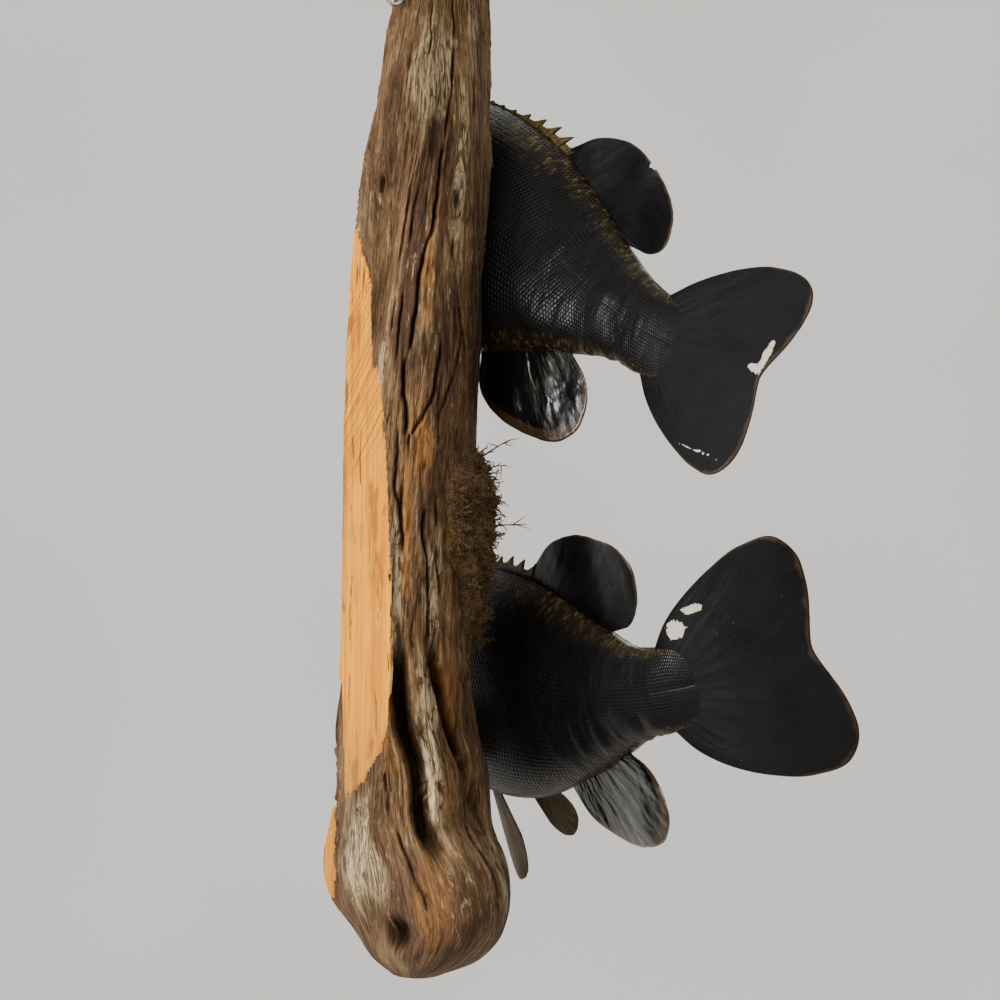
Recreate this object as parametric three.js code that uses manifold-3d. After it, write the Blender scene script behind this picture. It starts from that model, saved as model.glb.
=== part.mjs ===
// Two smallmouth bass mounted on a piece of driftwood, a wall trophy at life size.
//
// Frame: +Z is up. The driftwood's back is sawn flat and lies in the plane Y = 0 against the wall, so the
// trophy stands out towards -Y. The fish swim towards +X. The origin is the middle of the sawn face.
// Lengths are millimetres and angles are degrees, except that the tables of a fish are shares of its length.
//
// A fish is first made straight: its nose is at the origin, its body runs along -X and its left side is +Y.
// It is parted into nodes there, and then every point is carried onto the bent spine of the mounted fish.

import * as THREE from 'three';
import { mergeVertices } from 'three/addons/utils/BufferGeometryUtils.js';
import Module from 'manifold-3d';

const wasm = await Module();
wasm.setup();

// ---------------------------------------------------------------- driving dimensions

const BASS_LENGTH = 410; // nose to the root of the tail fin
const PART_GAP = 0.5; // between pieces that touch
const FAR = 400; // past everything, for cutting regions

const JAW_GAPE = 15; // how far the lower jaw is open
const NECK = 0.19; // where the head starts to narrow to the lips
const MOUTH_CORNER = [0.124, -0.056];
const JAW_JOINT = [0.16, -0.05];
const CHIN_LEAD = 0.01; // the lower jaw is this much longer than the upper one
const EYE_PLACE = [0.122, 0.025];
const EYE_RADIUS = 0.024;
const EYE_BULGE = 0.005; // how far the eye stands out of the head

const FIN_ROOT_THICK = 3;
const FIN_EDGE_THICK = 1.2;
const FIN_CLEARANCE = 0.9; // between a fin's root and the body, wide enough for the bend at the tail
const FIN_ROOT_DEPTH = 0.022; // how far a fin would run into the body before it is cut

const SCREW_EYE = { ring: 6, wire: 1.3, shank: 11, at: [-13, -10, 268], turn: -66 };

// share of the length, height above the axis, depth below it, half width
const BODY = [
  [0.0, 0.006, 0.018, 0.014],
  [0.01, 0.018, 0.029, 0.029],
  [0.03, 0.032, 0.042, 0.041],
  [0.07, 0.053, 0.062, 0.054],
  [0.12, 0.073, 0.084, 0.064],
  [0.2, 0.106, 0.115, 0.078],
  [0.3, 0.138, 0.144, 0.088],
  [0.4, 0.16, 0.162, 0.091],
  [0.5, 0.167, 0.167, 0.088],
  [0.6, 0.159, 0.157, 0.08],
  [0.7, 0.131, 0.125, 0.064],
  [0.8, 0.09, 0.086, 0.044],
  [0.88, 0.064, 0.063, 0.031],
  [0.95, 0.057, 0.057, 0.021],
  [1.0, 0.061, 0.061, 0.015],
];

// The spine of a mounted fish: share of the length, then the turn of the body away from the wall (yaw),
// how far it points down towards the tail (pitch) and the lean of the back towards the wall (roll).
// The edge of a soft fin rises by its shape's heights times `rise`, and leans towards the tail by its heights
// times `lean`. The tail fin's lobes have their own shares of the full spread, and the fin has its own share
// of the full length. The pectoral fin by the wall has its own ray directions, because the wood is in its way.
const LOWER_BASS = {
  pin: { share: 0.65, at: [20, -112, -114] },
  spine: [
    [0.0, -10, 6, 4],
    [0.35, -5, 4, 14],
    [0.62, 15, 6, 13],
    [0.72, 16, 6, 15],
    [0.82, 8, 2, 12],
    [0.93, 6, 0, 14],
    [1.0, 26, -7, 13],
    [1.1, 44, -14, 9],
    [1.2, 49, -17, 9],
  ],
  tail: { above: 0.955, below: 0.96, long: 0.975 },
  dorsal: { lean: 0.66, rise: 1.08 },
  anal: { lean: 0.03, rise: 0.94 },
  pectoral: { first: [-0.85, 0.7, 0.1], last: [-0.55, 0.7, -0.95] },
};
const UPPER_BASS = {
  pin: { share: 0.65, at: [-6, -88, 123] },
  spine: [
    [0.0, -10, 33, -6],
    [0.35, -5, 31, -3],
    [0.62, 18, 29, -12],
    [0.74, 27, 27, -15],
    [0.84, 21, 27, -10],
    [0.93, 9, 28, -10],
    [1.0, 17, 24, -9],
    [1.1, 22, 20, -12],
    [1.2, 24, 26, -14],
  ],
  tail: { above: 0.85, below: 0.875, long: 1.0 },
  dorsal: { lean: 0.2, rise: 0.8 },
  anal: { lean: -0.06, rise: 0.9 },
  pectoral: { first: [-0.45, 0.12, -0.4], last: [0.05, 0.2, -1] },
};

// height, centre across the wall, centre off the wall, half width, half depth to the front, then towards the
// wall on the +X side and on the -X side
const DRIFTWOOD = [
  [290, 0, -41, 23, 22, 20, 20],
  [259, 0, -40, 27, 26, 26, 26],
  [204, 1, -36, 35, 31, 33, 33],
  [152, 5, -31, 43, 36, 48, 27],
  [100, 9, -26, 54, 39, 70, 20],
  [40, 10, -22, 60, 40, 90, 28],
  [-20, 8, -19, 64, 39, 90, 44],
  [-100, 7, -17, 65, 38, 80, 60],
  [-138, 4, -20, 58, 38, 58, 47],
  [-160, 3, -25, 58, 39, 50, 37],
  [-190, 8, -27, 66, 41, 44, 29],
  [-216, 12, -36, 77, 42, 44, 30],
  [-245, 8, -37, 76, 37, 34, 28],
  [-262, 4, -33, 52, 26, 24, 22],
  [-271, 3, -28, 18, 10, 10, 10],
];

// ---------------------------------------------------------------- curves and closed meshes

const radians = THREE.MathUtils.degToRad;
const mix = (a, b, t) => a + (b - a) * t;
const easeBetween = (low, high, t) => THREE.MathUtils.smoothstep(t, low, high);

// The columns of a table at t, by a cubic that runs smoothly through its rows and stays level past its ends.
function along(table, t) {
  const rising = table[0][0] < table[table.length - 1][0] ? table : [...table].reverse();
  const last = rising.length - 1;
  const x = THREE.MathUtils.clamp(t, rising[0][0], rising[last][0]);
  let i = 0;
  while (i < last - 1 && x > rising[i + 1][0]) i += 1;
  const slope = (row, column) => {
    const a = rising[Math.max(row - 1, 0)];
    const b = rising[Math.min(row + 1, last)];
    return (b[column] - a[column]) / (b[0] - a[0]);
  };
  const [p, q] = [rising[i], rising[i + 1]];
  const span = q[0] - p[0];
  const s = (x - p[0]) / span;
  return p.slice(1).map((_, k) => {
    const column = k + 1;
    const start = (1 + 2 * s) * (1 - s) ** 2 * p[column] + s * (1 - s) ** 2 * span * slope(i, column);
    const end = s * s * (3 - 2 * s) * q[column] + s * s * (s - 1) * span * slope(i + 1, column);
    return start + end;
  });
}

function geometryOf(points, triangles) {
  const geometry = new THREE.BufferGeometry();
  geometry.setAttribute('position', new THREE.Float32BufferAttribute(points.flatMap((p) => [p.x, p.y, p.z]), 3));
  geometry.setIndex(triangles.flat());
  return facingOut(geometry);
}

// Turns every triangle round if the closed mesh encloses a negative volume.
function facingOut(geometry) {
  const position = geometry.attributes.position;
  const index = geometry.index.array;
  const [a, b, c] = [new THREE.Vector3(), new THREE.Vector3(), new THREE.Vector3()];
  let volume = 0;
  for (let i = 0; i < index.length; i += 3) {
    a.fromBufferAttribute(position, index[i]);
    b.fromBufferAttribute(position, index[i + 1]);
    c.fromBufferAttribute(position, index[i + 2]);
    volume += a.dot(b.cross(c));
  }
  if (volume < 0) {
    for (let i = 0; i < index.length; i += 3) {
      [index[i + 1], index[i + 2]] = [index[i + 2], index[i + 1]];
    }
  }
  return geometry;
}

// A closed mesh through rings of equally many points, with a fan over the first and the last ring.
function loft(rings) {
  const count = rings[0].length;
  const points = rings.flat();
  const triangles = [];
  for (let r = 0; r < rings.length - 1; r += 1) {
    for (let k = 0; k < count; k += 1) {
      const [a, b] = [r * count + k, r * count + ((k + 1) % count)];
      triangles.push([a, b, b + count], [a, b + count, a + count]);
    }
  }
  for (const [first, turned] of [[0, true], [(rings.length - 1) * count, false]]) {
    const middle = new THREE.Vector3();
    for (let k = 0; k < count; k += 1) middle.add(points[first + k]);
    points.push(middle.divideScalar(count));
    for (let k = 0; k < count; k += 1) {
      const [a, b] = [first + k, first + ((k + 1) % count)];
      triangles.push(turned ? [b, a, points.length - 1] : [a, b, points.length - 1]);
    }
  }
  return geometryOf(points, triangles);
}

// A thin closed plate between two like grids of points, front[row][column] and back[row][column].
function plate(front, back) {
  const [rows, columns] = [front.length, front[0].length];
  const points = [...front.flat(), ...back.flat()];
  const at = (side, row, column) => side * rows * columns + row * columns + column;
  const triangles = [];
  const quad = (a, b, c, d) => triangles.push([a, b, c], [a, c, d]);
  for (let r = 0; r < rows - 1; r += 1) {
    for (let c = 0; c < columns - 1; c += 1) {
      quad(at(0, r, c), at(0, r, c + 1), at(0, r + 1, c + 1), at(0, r + 1, c));
      quad(at(1, r, c), at(1, r + 1, c), at(1, r + 1, c + 1), at(1, r, c + 1));
    }
  }
  for (let c = 0; c < columns - 1; c += 1) {
    quad(at(0, 0, c), at(1, 0, c), at(1, 0, c + 1), at(0, 0, c + 1));
    quad(at(0, rows - 1, c), at(0, rows - 1, c + 1), at(1, rows - 1, c + 1), at(1, rows - 1, c));
  }
  for (let r = 0; r < rows - 1; r += 1) {
    quad(at(0, r, 0), at(0, r + 1, 0), at(1, r + 1, 0), at(1, r, 0));
    quad(at(0, r, columns - 1), at(1, r, columns - 1), at(1, r + 1, columns - 1), at(0, r + 1, columns - 1));
  }
  return geometryOf(points, triangles);
}

// ---------------------------------------------------------------- booleans

function solidOf(geometry) {
  const plain = geometry.clone();
  plain.deleteAttribute('normal');
  plain.deleteAttribute('uv');
  const merged = mergeVertices(plain, 1e-4);
  return new wasm.Manifold(new wasm.Mesh({
    numProp: 3,
    vertProperties: new Float32Array(merged.attributes.position.array),
    triVerts: new Uint32Array(merged.index.array),
  }));
}

function geometryFrom(solid) {
  const mesh = solid.getMesh();
  const geometry = new THREE.BufferGeometry();
  geometry.setAttribute('position', new THREE.Float32BufferAttribute(mesh.vertProperties, mesh.numProp));
  geometry.setIndex(Array.from(mesh.triVerts));
  return geometry;
}

// The room a thin piece takes up when it is moved by the gap along every axis.
function roomAround(solid) {
  const moves = [[1, 0, 0], [0, 1, 0], [0, 0, 1]].map((axis) => axis.map((part) => part * PART_GAP));
  let room = solid;
  for (const move of moves) {
    room = room.add(solid.translate(move)).add(solid.translate(move.map((part) => -part)));
  }
  return room;
}

// An upright region of a straight fish: an outline of [share of the length, height share] drawn from its side,
// as thick as the whole fish or only on one side of it.
function sideRegion(outline) {
  const shape = new THREE.Shape(outline.map(([u, z]) => new THREE.Vector2(-u * BASS_LENGTH, z * BASS_LENGTH)));
  const region = new THREE.ExtrudeGeometry(shape, { depth: 2 * FAR, bevelEnabled: false });
  region.translate(0, 0, -FAR).rotateX(Math.PI / 2);
  return solidOf(region);
}

// ---------------------------------------------------------------- a straight fish

const fishPoint = (u, y, z) => new THREE.Vector3(-u * BASS_LENGTH, y * BASS_LENGTH, z * BASS_LENGTH);

// Half the width of the body at height z as a share of its widest: a narrow back over a full belly.
function sectionWidth(z, top, bottom) {
  const c = Math.min(1, z >= 0 ? z / Math.max(top, 1e-6) : -z / Math.max(bottom, 1e-6));
  return z >= 0 ? (1 - c ** 2) ** 0.62 : (1 - c ** 2.6) ** 0.5;
}

const mouthLine = (u) => MOUTH_CORNER[1] * THREE.MathUtils.clamp(u / MOUTH_CORNER[0], 0, 1);

// The lower jaw swings about its joint as a whole, and the throat behind it gives way.
function openJaw([u, z], share) {
  const turn = radians(JAW_GAPE) * share;
  const [du, dz] = [u - JAW_JOINT[0], z - JAW_JOINT[1]];
  return [
    JAW_JOINT[0] + du * Math.cos(turn) - dz * Math.sin(turn),
    JAW_JOINT[1] + du * Math.sin(turn) + dz * Math.cos(turn),
  ];
}

// A ring of the head between the neck (t = 0) and the rim of the lips (t = 1). Its points slide from the
// round of the neck to the V of the open mouth, and their width is the body's at that place.
function headRing(t, sides, swell) {
  const ring = [];
  for (let k = 0; k < sides; k += 1) {
    const angle = (2 * Math.PI * k) / sides;
    const c = Math.cos(angle);
    const lead = c < 0 ? CHIN_LEAD : 0;
    const rim = MOUTH_CORNER[0] - (MOUTH_CORNER[0] + lead) * Math.abs(c) ** 1.5;
    const u = mix(NECK, rim, t);
    const [top, bottom, half] = along(BODY, u);
    const middle = t * mouthLine(u);
    const reach = t < 1 ? Math.abs(c) ** (1 / (1 - t)) : 0;
    const z = middle + ((c >= 0 ? top : -bottom) - middle) * reach;
    const width = (half + swell) * sectionWidth(z, top + swell, bottom + swell) * Math.sign(Math.sin(angle));
    const share = Math.abs(c) < 1e-6 ? 0.5 : Number(c < 0);
    const [uOpen, zOpen] = openJaw([u, z + Math.sign(c) * swell * reach], share * easeBetween(0.25, 0.85, t));
    ring.push(fishPoint(uOpen, Math.abs(Math.sin(angle)) < 1e-6 ? 0 : width, zOpen));
  }
  return ring;
}

function bodyRing(u, sides, swell) {
  const [top, bottom, half] = along(BODY, u);
  const ring = [];
  for (let k = 0; k < sides; k += 1) {
    const angle = (2 * Math.PI * k) / sides;
    const c = Math.cos(angle);
    const z = (c >= 0 ? top + swell : bottom + swell) * c;
    const width = (half + swell) * sectionWidth(z, top + swell, bottom + swell) * Math.sign(Math.sin(angle));
    ring.push(fishPoint(u, Math.abs(Math.sin(angle)) < 1e-6 ? 0 : width, z));
  }
  return ring;
}

// A ring of the mouth's lining, from just inside the lips (q = 0) to the closed throat (q = 1).
function mouthRing(rim, q) {
  const throat = fishPoint(0.185, 0, -0.045);
  return rim.map((lip, k) => {
    const c = Math.cos((2 * Math.PI * k) / rim.length);
    const thickness = 0.014 * BASS_LENGTH;
    const x = mix(lip.x - thickness * Math.abs(c), throat.x, q);
    const y = mix(lip.y - Math.sign(lip.y) * Math.min(thickness, Math.abs(lip.y)), 0, q ** 2 * 0.7);
    const hollow = 0.006 * BASS_LENGTH * Math.sign(c) * Math.sin(Math.PI * Math.min(q + 0.2, 1));
    const z = mix(lip.z, throat.z + 0.012 * BASS_LENGTH * c, q ** 0.8) + hollow;
    return new THREE.Vector3(x, y, z);
  });
}

function bassSkin({ sides, lengths, headRings, swell = 0, mouth = true }) {
  const rings = [];
  for (let i = 0; i <= lengths; i += 1) rings.push(bodyRing(mix(1.0, NECK, i / lengths), sides, swell));
  for (let i = 1; i <= headRings; i += 1) rings.push(headRing(i / headRings, sides, swell));
  if (mouth) {
    const rim = rings[rings.length - 1];
    for (const q of [0, 0.35, 0.7, 1]) rings.push(mouthRing(rim, q));
  }
  return loft(rings);
}

// ---------------------------------------------------------------- fins of a straight fish

// Points at equal steps along a smooth curve through the given ones.
function smoothLine(points, count) {
  return new THREE.CatmullRomCurve3(points, false, 'centripetal').getSpacedPoints(count - 1);
}

// A fin fans from its root line to its edge, thinner towards the edge. Its sides face along `side`.
function fan(root, edge, side, rows = 2) {
  const [front, back] = [[], []];
  for (let r = 0; r <= rows; r += 1) {
    const half = mix(FIN_ROOT_THICK, FIN_EDGE_THICK, r / rows) / 2;
    const line = root.map((p, c) => p.clone().lerp(edge[c], r / rows));
    front.push(line.map((p) => p.clone().addScaledVector(side, half)));
    back.push(line.map((p) => p.clone().addScaledVector(side, -half)));
  }
  return plate(front, back);
}

const ACROSS = new THREE.Vector3(0, 1, 0);
const BACK_LINE = 1;
const BELLY_LINE = -1;

// A fin on the back (direction 1) or the belly (-1): from one share of the length to another, with its edge
// given as [share, height over the body's outline].
function middleFin({ from, to, edge, direction, columns }, { lean, rise }) {
  const outline = (u) => along(BODY, u)[direction > 0 ? 0 : 1];
  const root = [];
  for (let c = 0; c < columns; c += 1) {
    const u = mix(from, to, c / (columns - 1));
    root.push(fishPoint(u, 0, direction * (outline(u) - FIN_ROOT_DEPTH)));
  }
  const mounted = edge.map(([u, h]) => [u + lean * h, rise * h]);
  const rim = smoothLine(mounted.map(([u, h]) => fishPoint(u, 0, direction * (outline(u) + h))), columns);
  return fan(root, rim, ACROSS);
}

const SOFT_DORSAL = {
  from: 0.625,
  to: 0.8,
  edge: [[0.628, 0.016], [0.652, 0.062], [0.7, 0.102], [0.76, 0.118], [0.835, 0.118], [0.885, 0.092],
    [0.9, 0.054], [0.874, 0.022], [0.802, 0.0]],
  direction: BACK_LINE,
  columns: 12,
};
const ANAL_FIN = {
  from: 0.655,
  to: 0.8,
  edge: [[0.658, 0.0], [0.695, 0.058], [0.755, 0.106], [0.81, 0.132], [0.865, 0.138], [0.89, 0.112],
    [0.88, 0.065], [0.842, 0.022], [0.802, 0.0]],
  direction: BELLY_LINE,
  columns: 12,
};

// The spiny dorsal is folded back: webs sag between spines that stand past them.
const SPINES = { count: 10, from: 0.385, to: 0.618, lean: 0.03, web: 0.4 };
const SPINE_REACH = 0.023; // the longest spine's height over the back
const spineHeight = (share) => 0.0035 + 0.0195 * easeBetween(0.35, 0.85, share);

function spinyDorsal() {
  const [root, rim] = [[], []];
  const columns = 2 * (SPINES.count - 1) + 1;
  for (let c = 0; c < columns; c += 1) {
    const share = c / (columns - 1);
    const u = mix(SPINES.from, SPINES.to, share);
    const height = spineHeight(share) * (c % 2 ? SPINES.web : 1);
    const top = along(BODY, u)[0];
    root.push(fishPoint(u, 0, top - FIN_ROOT_DEPTH));
    const tip = u + SPINES.lean * (height / SPINE_REACH);
    rim.push(fishPoint(tip, 0, along(BODY, tip)[0] + height));
  }
  return fan(root, rim, ACROSS);
}

// The tail fin: two round lobes, as [distance behind the root, height], and a shallow fork.
const TAIL_ROOT = 0.955;

function tailFin({ above, below, long }) {
  const lobe = [[0, 0.05], [0.045, 0.09], [0.115, 0.13], [0.185, 0.153], [0.235, 0.148], [0.255, 0.112],
    [0.25, 0.06]];
  const upper = lobe.map(([back, z]) => [TAIL_ROOT + long * back, above * z]);
  const lower = lobe.map(([back, z]) => [TAIL_ROOT + long * back, -below * z]).reverse();
  const edge = [...upper, [TAIL_ROOT + 0.233 * long, 0], ...lower];
  const columns = 19;
  const root = [];
  for (let c = 0; c < columns; c += 1) {
    const share = c / (columns - 1);
    root.push(fishPoint(TAIL_ROOT + 0.035 * Math.sin(Math.PI * share), 0, 0.05 * (1 - 2 * share)));
  }
  return fan(root, smoothLine(edge.map(([u, z]) => fishPoint(u, 0, z)), columns), ACROSS, 3);
}

// A paired fin: a paddle on a short root. Its rays start along `root` and reach `length` along directions that
// swing from `first` to `last`, and the plate faces along their cross product.
function paddle({ at, root, first, last, length, columns = 8 }) {
  const [base, rim] = [[], []];
  const [a, b] = [new THREE.Vector3(...first).normalize(), new THREE.Vector3(...last).normalize()];
  const start = fishPoint(...at);
  const rootSpan = new THREE.Vector3(...root).multiplyScalar(BASS_LENGTH);
  const middle = a.clone().add(b).normalize();
  for (let c = 0; c < columns; c += 1) {
    const share = c / (columns - 1);
    const ray = a.clone().lerp(b, share).normalize();
    const from = start.clone().addScaledVector(rootSpan, share);
    const reach = length * BASS_LENGTH * (0.55 + 0.45 * Math.sin(Math.PI * share ** 0.8) ** 0.6);
    base.push(from.clone().addScaledVector(middle, -FIN_ROOT_DEPTH * BASS_LENGTH));
    rim.push(from.clone().addScaledVector(ray, reach));
  }
  const side = a.clone().cross(b).normalize();
  return fan(base, rim, side);
}

const mirrored = ([x, y, z]) => [x, -y, z];
const PELVIC_LEFT = {
  at: [0.385, 0.022, -0.146],
  root: [-0.022, 0.004, 0],
  first: [-0.3, 0.08, -1],
  last: [-0.62, -0.14, -0.85],
  length: 0.155,
};
const PELVIC_RIGHT = {
  ...PELVIC_LEFT,
  at: [0.385, -0.022, -0.146],
  root: [-0.022, -0.004, 0],
  first: [-0.72, -0.1, -0.66],
  last: [-0.92, -0.32, -0.34],
};
const PECTORAL_LEFT = {
  at: [0.372, 0.084, -0.02],
  root: [-0.004, 0.0, -0.05],
  first: [-0.85, 0.7, 0.1],
  last: [-0.55, 0.7, -0.95],
  length: 0.165,
};

function mirrorPaddle(fin) {
  const [u, y, z] = fin.at;
  return { ...fin, at: [u, -y, z], root: mirrored(fin.root), first: mirrored(fin.first), last: mirrored(fin.last) };
}

// ---------------------------------------------------------------- the mounted pose

// Carries a point of the straight fish onto the bent spine. The frame at each share of the length is found by
// stepping along the spine from the pinned place, because the turns vary on the way.
function mountedPose({ pin, spine }) {
  const step = 0.01;
  const frameAt = (share) => {
    const [yaw, pitch, roll] = along(spine, share).map(radians);
    const tailward = new THREE.Vector3(
      -Math.cos(pitch) * Math.cos(yaw),
      -Math.cos(pitch) * Math.sin(yaw),
      -Math.sin(pitch),
    );
    const level = new THREE.Vector3(-Math.sin(yaw), Math.cos(yaw), 0);
    const upright = tailward.clone().negate().cross(level);
    const up = upright.clone().multiplyScalar(Math.cos(roll)).addScaledVector(level, Math.sin(roll));
    const left = level.clone().multiplyScalar(Math.cos(roll)).addScaledVector(upright, -Math.sin(roll));
    return { tailward, left, up };
  };
  const centres = new Map();
  const steps = (share) => Math.round((share - pin.share) / step);
  centres.set(0, new THREE.Vector3(...pin.at));
  for (const way of [1, -1]) {
    for (let i = way; Math.abs(i) <= 80; i += way) {
      const middle = frameAt(pin.share + (i - way / 2) * step).tailward;
      centres.set(i, centres.get(i - way).clone().addScaledVector(middle, way * step * BASS_LENGTH));
    }
  }
  return (point) => {
    const share = -point.x / BASS_LENGTH;
    const i = THREE.MathUtils.clamp(steps(share), -80, 80);
    const { tailward, left, up } = frameAt(share);
    const rest = (share - (pin.share + i * step)) * BASS_LENGTH;
    return centres.get(i).clone().addScaledVector(tailward, rest)
      .addScaledVector(left, point.y).addScaledVector(up, point.z);
  };
}

function posed(geometry, pose) {
  const moved = geometry.clone();
  const position = moved.attributes.position;
  const point = new THREE.Vector3();
  for (let i = 0; i < position.count; i += 1) {
    const place = pose(point.fromBufferAttribute(position, i));
    position.setXYZ(i, place.x, place.y, place.z);
  }
  return moved;
}

// ---------------------------------------------------------------- the parts of a fish

function bassFins({ tail, dorsal, anal, pectoral }) {
  return {
    dorsal_fin_spiny: spinyDorsal(),
    dorsal_fin_soft: middleFin(SOFT_DORSAL, dorsal),
    anal_fin: middleFin(ANAL_FIN, anal),
    tail_fin: tailFin(tail),
    pelvic_fin_left: paddle(PELVIC_LEFT),
    pelvic_fin_right: paddle(PELVIC_RIGHT),
    pectoral_fin_left: paddle({ ...PECTORAL_LEFT, ...pectoral }),
    pectoral_fin_right: paddle(mirrorPaddle(PECTORAL_LEFT)),
  };
}

function eyeBall(side, swell) {
  const [u, z] = EYE_PLACE;
  const [top, bottom, half] = along(BODY, u);
  const surface = half * sectionWidth(z, top, bottom);
  const ball = new THREE.SphereGeometry((EYE_RADIUS + swell) * BASS_LENGTH, 12, 8);
  const place = fishPoint(u, side * (surface + EYE_BULGE - EYE_RADIUS), z);
  return ball.translate(place.x, place.y, place.z);
}

// Thin cuts: the gill opening behind the gill cover, the end of the trunk, and the jaw under the mouth.
const GILL_CUT = [[0.27, 0.3], [0.315, 0.1], [0.352, 0.05], [0.366, 0.022], [0.352, -0.01], [0.335, -0.05],
  [0.29, -0.1], [0.235, -0.3]];
const TRUNK_END = 0.66;
const JAW_CUT = [[-0.2, -0.1], [0.0, -0.05], [0.12, -0.062], [0.178, -0.062], [0.182, -0.3], [-0.2, -0.3]];

// How finely the skin of the two fish is faceted.
const DETAILED = { sides: 20, lengths: 16, headRings: 8 };
const PLAIN = { sides: 14, lengths: 13, headRings: 6 };

// A body a little swollen, for what keeps clear of it.
const swollenSkin = (facets, gap) => bassSkin({ ...facets, swell: gap, mouth: false });

function bassNodes(mounted) {
  const gap = PART_GAP / BASS_LENGTH;
  const body = solidOf(bassSkin(DETAILED));
  const clearance = solidOf(swollenSkin(DETAILED, FIN_CLEARANCE / BASS_LENGTH));
  const front = sideRegion([[-0.5, 0.3], ...GILL_CUT, [-0.5, -0.3]]);
  const behind = sideRegion([...GILL_CUT.map(([u, z]) => [u + gap, z]), [2, -0.3], [2, 0.3]]);
  const trunkEnd = sideRegion([[TRUNK_END, 0.3], [TRUNK_END, -0.3], [-0.5, -0.3], [-0.5, 0.3]]);
  const stalk = sideRegion([[TRUNK_END + gap, 0.3], [TRUNK_END + gap, -0.3], [2, -0.3], [2, 0.3]]);
  const jaw = sideRegion(JAW_CUT);
  const jawRoom = sideRegion(JAW_CUT.map(([u, z]) => [u + gap, z + gap]));
  const sockets = solidOf(eyeBall(1, gap)).add(solidOf(eyeBall(-1, gap)));
  const nodes = {
    head: body.intersect(front).subtract(jawRoom).subtract(sockets),
    lower_jaw: body.intersect(front).intersect(jaw),
    trunk: body.intersect(behind).intersect(trunkEnd),
    tail_stalk: body.intersect(stalk),
    eye_left: solidOf(eyeBall(1, 0)),
    eye_right: solidOf(eyeBall(-1, 0)),
  };
  for (const [name, fin] of Object.entries(bassFins(mounted))) {
    nodes[name] = solidOf(fin).subtract(clearance);
  }
  const spinesEnd = SOFT_DORSAL.from - gap;
  const overSpines = sideRegion([[spinesEnd, 0.3], [spinesEnd, -0.3], [-0.5, -0.3], [-0.5, 0.3]]);
  nodes.dorsal_fin_spiny = nodes.dorsal_fin_spiny.intersect(overSpines);
  return nodes;
}

function bassInOnePiece(mounted) {
  let whole = solidOf(bassSkin(PLAIN));
  for (const fin of Object.values(bassFins(mounted))) whole = whole.add(solidOf(fin));
  for (const side of [1, -1]) whole = whole.add(solidOf(eyeBall(side, 0)));
  return whole;
}

// ---------------------------------------------------------------- driftwood, moss and screw eye

const bump = (distance, width, power = 2) => Math.exp(-(Math.abs(distance / width) ** power));
const windowOf = (z, low, high, soft) => easeBetween(low, low + soft, z) * (1 - easeBetween(high - soft, high, z));

// The splits of the lower end run almost along the grain: depth, half width and course of each.
const SPLITS = [
  { depth: 26, half: 6.5, low: -214, high: -96, course: [[-214, 0], [-165, -9], [-96, -8]] },
  { depth: 15, half: 3.5, low: -150, high: -96, course: [[-150, 14], [-96, 12]] },
];

// Lumps and hollows: what they add to the radius, where they are, and how far they spread.
const LUMPS = [
  { rise: 46, z: -210, tall: 34, turn: 200, wide: 17 },
  { rise: 34, z: -148, tall: 32, turn: 191, wide: 12 },
  { rise: 12, z: 140, tall: 40, turn: 120, wide: 26 },
];

const turnBetween = (a, b) => THREE.MathUtils.euclideanModulo(a - b + 180, 360) - 180;

// Distance from the centre line to the surface, in the direction `turn` degrees round from -X towards -Y.
function woodRadius(z, turn) {
  const [, , acrossHalf, frontHalf, farWallHalf, nearWallHalf] = along(DRIFTWOOD, z);
  const angle = radians(turn);
  const wallHalf = mix(farWallHalf, nearWallHalf, easeBetween(-0.7, 0.7, Math.cos(angle)));
  const deep = Math.sin(angle) > 0 ? frontHalf : wallHalf;
  let radius = 1 / Math.hypot(Math.cos(angle) / acrossHalf, Math.sin(angle) / deep);
  radius += 1.1 * Math.sin(2 * angle + z / 23) + 0.8 * Math.sin(5 * angle - z / 31);
  for (const lump of LUMPS) {
    radius += lump.rise * bump(turnBetween(turn, lump.turn), lump.wide) * bump(z - lump.z, lump.tall);
  }
  for (const { depth, half, low, high, course } of SPLITS) {
    const place = turnBetween(turn, along(course, z)[0]);
    radius -= depth * windowOf(z, low, high, 22) * bump(place, half, 4);
  }
  return Math.max(radius, 4);
}

function woodPoint(z, turn, swell = 0) {
  const [across, off] = along(DRIFTWOOD, z);
  const radius = woodRadius(z, turn) + swell;
  return new THREE.Vector3(across - Math.cos(radians(turn)) * radius, off - Math.sin(radians(turn)) * radius, z);
}

// The sides crowd towards -X, where the splits are.
function woodSkin(swell = 0) {
  const [sides, levels] = [34, 32];
  const [top, bottom] = [DRIFTWOOD[0][0], DRIFTWOOD[DRIFTWOOD.length - 1][0]];
  const rings = [];
  for (let i = 0; i <= levels; i += 1) {
    const z = mix(top, bottom, i / levels);
    const ring = [];
    for (let k = 0; k < sides; k += 1) {
      const even = (360 * k) / sides;
      ring.push(woodPoint(z, even - 32 * Math.sin(radians(even)), swell));
    }
    rings.push(ring);
  }
  return loft(rings);
}

function screwEye(swell) {
  const { ring, wire, shank, at, turn } = SCREW_EYE;
  const loop = new THREE.TorusGeometry(ring, wire + swell, 6, 14);
  const stem = new THREE.CylinderGeometry(wire + swell, wire + swell, shank, 8);
  stem.rotateZ(Math.PI / 2).translate(ring + shank / 2, 0, 0);
  const solid = solidOf(loop).add(solidOf(stem));
  const geometry = geometryFrom(solid);
  return geometry.rotateX(Math.PI / 2).rotateZ(radians(turn)).translate(...at);
}

// A cushion of moss on the front corner of the wood.
const MOSS = { low: -104, high: 16, from: 7, to: 90, thick: 15 };

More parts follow.
